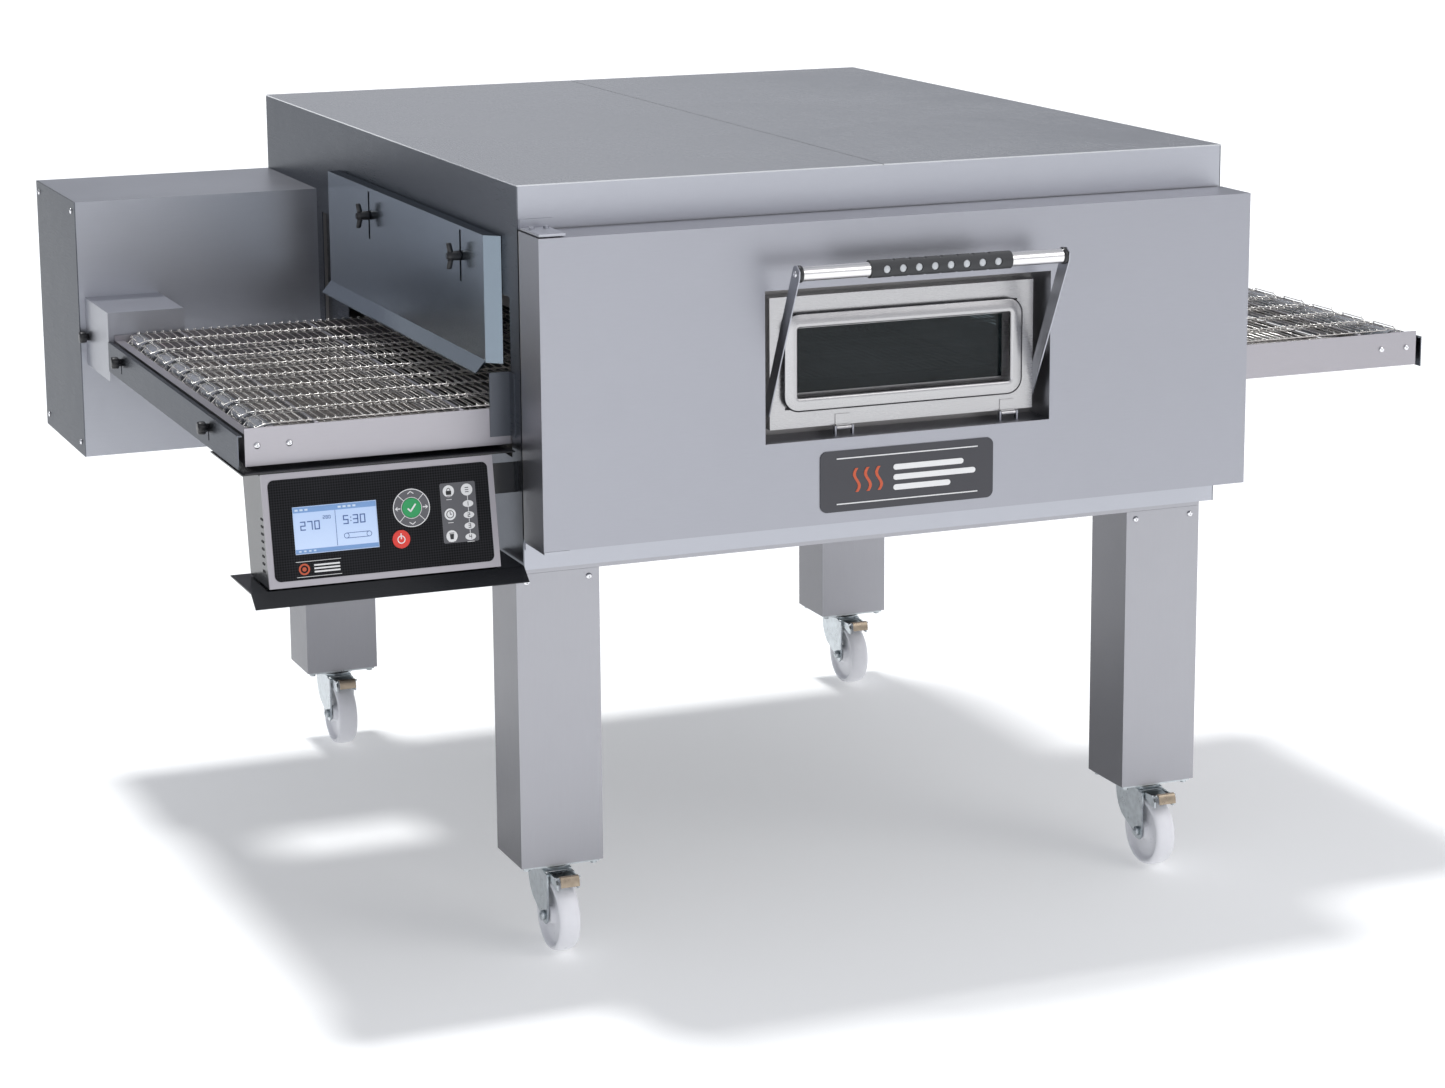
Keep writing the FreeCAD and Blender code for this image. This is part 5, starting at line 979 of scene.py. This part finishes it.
def oval(u, v, a, b, steps=40):
    return [(u + a * math.cos(2 * math.pi * i / steps),
             v + b * math.sin(2 * math.pi * i / steps)) for i in range(steps)]


def ring(name, centre, outer, inner, material, proud, thick, steps):
    """A flat ring; outer and inner are half widths across and up."""
    return flat_shape(name, oval(*centre, *outer, steps), material, proud, thick,
                      oval(*centre, *inner, steps))


def bar(u0, v0, u1, v1, width):
    """A straight stroke between two points."""
    along = Vector((u1 - u0, v1 - v0)).normalized()
    n = Vector((-along.y, along.x)) * width / 2
    return [(u0 + n.x, v0 + n.y), (u0 - n.x, v0 - n.y), (u1 - n.x, v1 - n.y), (u1 + n.x, v1 + n.y)]


def rounded(u, v, wide, high, r, steps=6):
    points = []
    for cu, cv, a0 in ((u + wide - r, v + high - r, 0), (u + r, v + high - r, 90),
                       (u + r, v + r, 180), (u + wide - r, v + r, 270)):
        for k in range(steps + 1):
            a = math.radians(a0 + 90 * k / steps)
            points.append((cu + r * math.cos(a), cv + r * math.sin(a)))
    return points


SEGMENTS = {0: "abcdef", 1: "bc", 2: "abged", 3: "abgcd", 4: "fgbc", 5: "afgcd", 7: "abc",
            8: "abcdefg"}


def digit(value, u, v, wide, high, stroke):
    """Strokes of one seven segment digit, lower left corner at u, v."""
    half = high / 2
    ends = {"a": (0, high, wide, high), "b": (wide, half, wide, high), "c": (wide, 0, wide, half),
            "d": (0, 0, wide, 0), "e": (0, 0, 0, half), "f": (0, half, 0, high),
            "g": (0, half, wide, half)}
    strokes = []
    for key in SEGMENTS[value]:
        u0, v0, u1, v1 = ends[key]
        grow = stroke * 0.5
        if v0 == v1:
            strokes.append(bar(u + u0 - grow, v + v0, u + u1 + grow, v + v1, stroke))
        else:
            strokes.append(bar(u + u0, v + v0 - grow * 0.9, u + u1, v + v1 + grow * 0.9, stroke))
    return strokes


def printed(name, shapes, material, proud=0.0, thick=0.25):
    parts = [flat_shape(name + "_bit", s, material, proud, thick) for s in shapes]
    rests_on(joined(name, parts), "oven", "foil")


def keypad_print():
    u0, v0 = 240, 107
    dial = [ring(name, (u0, v0), (outer, outer), (inner, inner), material, 0.0, thick, 72)
            for name, outer, inner, material, thick in (
                ("ring", 30.5, 29.2, WHITE_INK, 0.25), ("disc", 29.0, 16.4, KEY_GREY, 0.12),
                ("inner", 17.2, 16.3, WHITE_INK, 0.25))]
    strokes = []
    for k in range(4):
        a = math.radians(45 + 90 * k)
        strokes.append(bar(u0 + 17 * math.cos(a), v0 + 17 * math.sin(a),
                           u0 + 29.4 * math.cos(a), v0 + 29.4 * math.sin(a), 1.0))
    for way in (-1, 1):
        tip = u0 + way * 27.5
        strokes.append(bar(tip - way * 9, v0, tip - way * 2, v0, 1.7))
        strokes.append([(tip, v0), (tip - way * 4.6, v0 + 3.8), (tip - way * 3.4, v0),
                        (tip - way * 4.6, v0 - 3.8)])
        peak = v0 + way * 26.5
        strokes.append(bar(u0 - 5, peak - way * 4, u0 + 0.4, peak, 1.3))
        strokes.append(bar(u0 + 5, peak - way * 4, u0 - 0.4, peak, 1.3))
    marks = [flat_shape("mark", s, WHITE_INK, 0.12, 0.2) for s in strokes]
    rests_on(joined("arrow_ring", dial + marks), "oven", "foil")
    printed("key_field", [rounded(289, 45, 59, 96, 3)], KEY_GREY, 0.0, 0.12)
    left = [oval(303, v, 9.4, 9.4) for v in (128, 91, 56)]
    right = [oval(333.5, 128, 9.6, 9.6)] + [oval(334, v, 8.8, 5.4) for v in (105.5, 87.5, 70, 52.5)]
    links = [bar(334, a, 334, b, 0.9) for a, b in ((118.4, 111), (100, 93), (82, 75.5), (64.5, 58))]
    printed("key_buttons", left + right + links, WHITE_INK, 0.12, 0.3)
    icons = [rounded(298.6, 122, 8.8, 6.6, 0.8), bar(299.5, 120, 306.5, 120, 1.0)]
    for number, v in ((1, 105.5), (2, 87.5), (3, 70), (4, 52.5)):
        icons += digit(number, 334 - (1.6 if number != 1 else 3.2), v - 2.9, 3.2, 5.8, 1.0)
    icons += [bar(330.5, 124.5 + k * 3.4, 336.5, 124.5 + k * 3.4, 1.2) for k in range(3)]
    icons += [bar(303, 91, 303, 95.4, 1.1), bar(303, 91, 306, 91, 1.1)]
    icons += [[(299.4, 59.5), (306.6, 59.5), (305.6, 51), (300.4, 51)],
              bar(298.8, 60.9, 307.2, 60.9, 1.0)]
    parts = [flat_shape("icon", s, DARK_INK, 0.42, 0.12) for s in icons]
    shackle = ring("shackle", (303, 128.6), (3.4, 4.6), (2.3, 3.5), DARK_INK, 0.42, 0.12, 32)
    clock = ring("clock", (303, 91), (6.4, 6.4), (5.2, 5.2), DARK_INK, 0.42, 0.12, 40)
    rests_on(joined("key_icons", parts + [shackle, clock]), "oven", "foil")
    labels = []
    for u, v, wide in ((303, 114.5, 9), (303, 77.5, 9), (303, 47.9, 12), (334, 44.8, 12)):
        labels.append(bar(u - wide / 2, v, u + wide / 2, v, 0.9))
    printed("key_dashes", labels, WHITE_INK, 0.12, 0.12)
    mark = [bar(45, 38.5, 118, 38.5, 0.8), bar(45, 14.5, 118, 14.5, 0.8)]
    mark += [bar(74, 26.5 + k * 5.2, 116, 26.5 + k * 5.2, 2.6) for k in (-1, 0, 1)]
    printed("panel_mark", mark, WHITE_INK, 0.0, 0.2)
    flame = [ring("flame", (58, 26.5), (9, 9), (6.2, 6.2), RED_INK, 0.0, 0.2, 40),
             flat_shape("flame", oval(58, 26.5, 3.4, 3.4, 30), RED_INK, 0.0, 0.2)]
    rests_on(joined("panel_ember", flame), "oven", "foil")


def key_caps():
    """Raised legends on the two pressing keys."""
    top = 1.0
    check = [bar(233.5, 106.5, 238.4, 101.2, 2.6), bar(237.6, 101.2, 247.0, 113.0, 2.6)]
    parts = [flat_shape("tick", s, WHITE_INK, top, 0.2) for s in check]
    rests_on(joined("ok_tick", parts), "ok_key", "foil")
    power = [ring("arc", (219, 58.4), (6.6, 6.6), (5.0, 5.0), WHITE_INK, top, 0.2, 40),
             flat_shape("stem", bar(219, 59, 219, 68.2, 1.8), WHITE_INK, top, 0.24)]
    rests_on(joined("start_symbol", power), "start_stop_key", "foil")


def screen_content():
    """Header and footer bands, two readings and a small belt picture on the screen."""
    u0, v0, u1, v1 = 46, 50, 183, 125
    back = -1.05
    bands = [bar(u0 + 1, v1 - 5.5, u1 - 1, v1 - 5.5, 8.5),
             bar(u0 + 1, v0 + 4.5, u1 - 1, v0 + 4.5, 6.5)]
    printed("screen_bands", bands, ink("band_ink", (0.20, 0.36, 0.66)), back, 0.05)
    ink_shapes = [bar(115, v0 + 9, 115, v1 - 10, 0.8)]
    for k, value in enumerate((2, 7, 0)):
        ink_shapes += digit(value, 58 + 11.5 * k, 88, 7, 12.5, 1.7)
    ink_shapes += digit(2, 95, 103, 2.6, 4.6, 0.8) + digit(8, 99.6, 103, 2.6, 4.6, 0.8)
    ink_shapes += digit(0, 104.2, 103, 2.6, 4.6, 0.8)
    for u, value in ((128, 5), (144, 3), (155.5, 0)):
        ink_shapes += digit(value, u, 92, 7, 12.5, 1.7)
    ink_shapes += [bar(139, 96, 140.6, 96, 1.7), bar(139, 101.5, 140.6, 101.5, 1.7)]
    ink_shapes += [bar(131, 77, 168, 77, 0.9), bar(131, 69, 168, 69, 0.9)]
    printed("screen_ink", ink_shapes, BLUE_INK, back, 0.07)
    rings = [ring("roller", (u, 73), (4.4, 4.4), (3.5, 3.5), BLUE_INK, back, 0.09, 30)
             for u in (131, 168)]
    rests_on(joined("screen_rollers", rings), "oven", "screen")
    pale = [bar(u, v1 - 5.5, u + 5, v1 - 5.5, 3.0) for u in (50, 58, 66, 120, 128, 136, 144)]
    pale += [bar(u, v0 + 4.5, u + 4, v0 + 4.5, 2.4) for u in (52, 60, 68, 76)]
    printed("screen_chips", pale, ink("pale_ink", (0.62, 0.74, 0.88)), back + 0.05, 0.04)


keypad_print()
key_caps()
screen_content()


def vent_slots():
    """Painted shade for short cooling slots in the left end of the control housing: thin dark
    blocks on its face.
    """
    low, high = span("control_housing")
    places = [(Vector((low.x - 0.0001, panel_low.y + 0.030 + 0.0035 * k * math.tan(TILT),
                       panel_low.z + 0.024 + 0.0118 * k)), Vector((-1, 0, 0))) for k in range(8)]
    slot_shape = slab("slot_shape", (-0.0016, -0.006, 0), (0.0016, 0.006, 0.0006), SHADOW)
    slots = scatter("vent_slots", slot_shape, places, SHADOW, False)
    rests_on(slots, "oven", "black_sheet")


vent_slots()


# ---------------------------------------------------------------- name plate

def name_plate_relief():
    """A plain heat emblem and two rules on the plate under the window."""
    low, high = span("name_plate")
    centre = (low + high) / 2
    shapes = []

    def raised(outline, material):
        bm = bmesh.new()
        front, back = ([bm.verts.new((centre.x + u / 1000, low.y - d, centre.z + v / 1000))
                        for u, v in outline] for d in (0.0008, 0.0))
        for i in range(len(outline)):
            j = (i + 1) % len(outline)
            bm.faces.new((front[i], front[j], back[j], back[i]))
        bm.faces.new(front)
        bm.faces.new(back)
        shapes.append(outward("raised", bm, material))

    for v in (38, -38):
        raised(bar(-128, v, 128, v, 1.8), WHITE_INK)
    for u in (-92, -72, -52):
        raised([(u + 4.5 * math.sin(k / 14 * 2 * math.pi) + w, -20 + 40 * k / 14)
                for w, ks in ((-2.6, range(15)), (2.6, range(14, -1, -1))) for k in ks], RED_INK)
    for k, wide in ((1, 128), (0, 150), (-1, 104)):
        raised(rounded(-26, -6 + 17 * k, wide, 9.5, 4.7), WHITE_INK)
    rests_on(joined("plate_emblem", shapes), "front_door", "plate")


name_plate_relief()


# ---------------------------------------------------------------- studio

def pale_floor():
    f = Finish("studio_floor")
    cloud = f.noise(f.place(), 0.8, 2.0)
    f.surface(f.blend(cloud, (0.80, 0.81, 0.81), (0.84, 0.85, 0.85)), 0.0,
              (0.75 + (cloud - 0.5) * 0.1).clamp(), None,
              Emission_Color=(1, 1, 1, 1), Emission_Strength=0.27)
    s = 40.0
    floor = new_piece("floor", [(-s, -s, 0), (s, -s, 0), (s, s, 0), (-s, s, 0)], [(0, 1, 2, 3)],
                      f.material)


def lamp(name, place, aim, size, power, tint=(1, 1, 1)):
    light = bpy.data.lights.new(name, "AREA")
    light.shape = "RECTANGLE"
    light.size, light.size_y = size
    light.energy = power
    light.color = tint
    holder = bpy.data.objects.new(name, light)
    scene.collection.objects.link(holder)
    holder.location = place
    holder.rotation_euler = (Vector(aim) - Vector(place)).to_track_quat("-Z", "Y").to_euler()


def studio():
    """Soft room that is bright in front and above, and dimmer on the left."""
    world = bpy.data.worlds.new("studio")
    scene.world = world
    world.use_nodes = True
    sky = Tree(world.node_tree)
    world.node_tree.nodes.clear()
    way = sky.node("ShaderNodeTexCoord", out="Generated")
    right = sky.vector("DOT_PRODUCT", way, (0.62, -0.76, 0.18), out="Value")
    up = sky.vector("DOT_PRODUCT", way, (0.0, 0.0, 1.0), out="Value")
    x, y, z = sky.split(way)
    behind = y.clamp()
    drift = (x * 9.0 - z * 14.0 + 1.13).sin() * behind * 0.42
    glow = (0.62 + right * 0.34 + up * 0.05 + drift).clamp()
    tone = sky.node("ShaderNodeValToRGB", {"stops": [(0.0, (0.04, 0.045, 0.06)),
                                                     (0.55, (0.36, 0.38, 0.42)),
                                                     (1.0, (0.72, 0.72, 0.76))]}, (glow,))
    seen = sky.node("ShaderNodeLightPath", out="Is Camera Ray")
    mixed = sky.node("ShaderNodeMix", {"data_type": "RGBA"},
                     {0: seen, 6: tone, 7: (1, 1, 1, 1)}, out=2)
    back = sky.node("ShaderNodeBackground", {}, {"Color": mixed, "Strength": 1.0})
    sky.node("ShaderNodeOutputWorld", {}, {"Surface": back})
    lamp("key_light", (3.2, -4.6, 4.2), (0, 0, 0.8), (3.0, 3.0), 60, (1.0, 0.99, 0.97))
    lamp("front_fill", (-1.2, -6.0, 1.2), (0, 0, 0.9), (4.0, 2.0), 18, (0.96, 0.98, 1.0))
    sun = bpy.data.lights.new("ceiling", "SUN")
    sun.energy = 2.3
    sun.angle = math.radians(9)
    holder = bpy.data.objects.new("ceiling", sun)
    scene.collection.objects.link(holder)
    holder.rotation_euler = Vector((0.09, -0.29, -1.0)).to_track_quat("-Z", "Y").to_euler()
    scene.view_settings.view_transform = "Standard"


pale_floor()
studio()
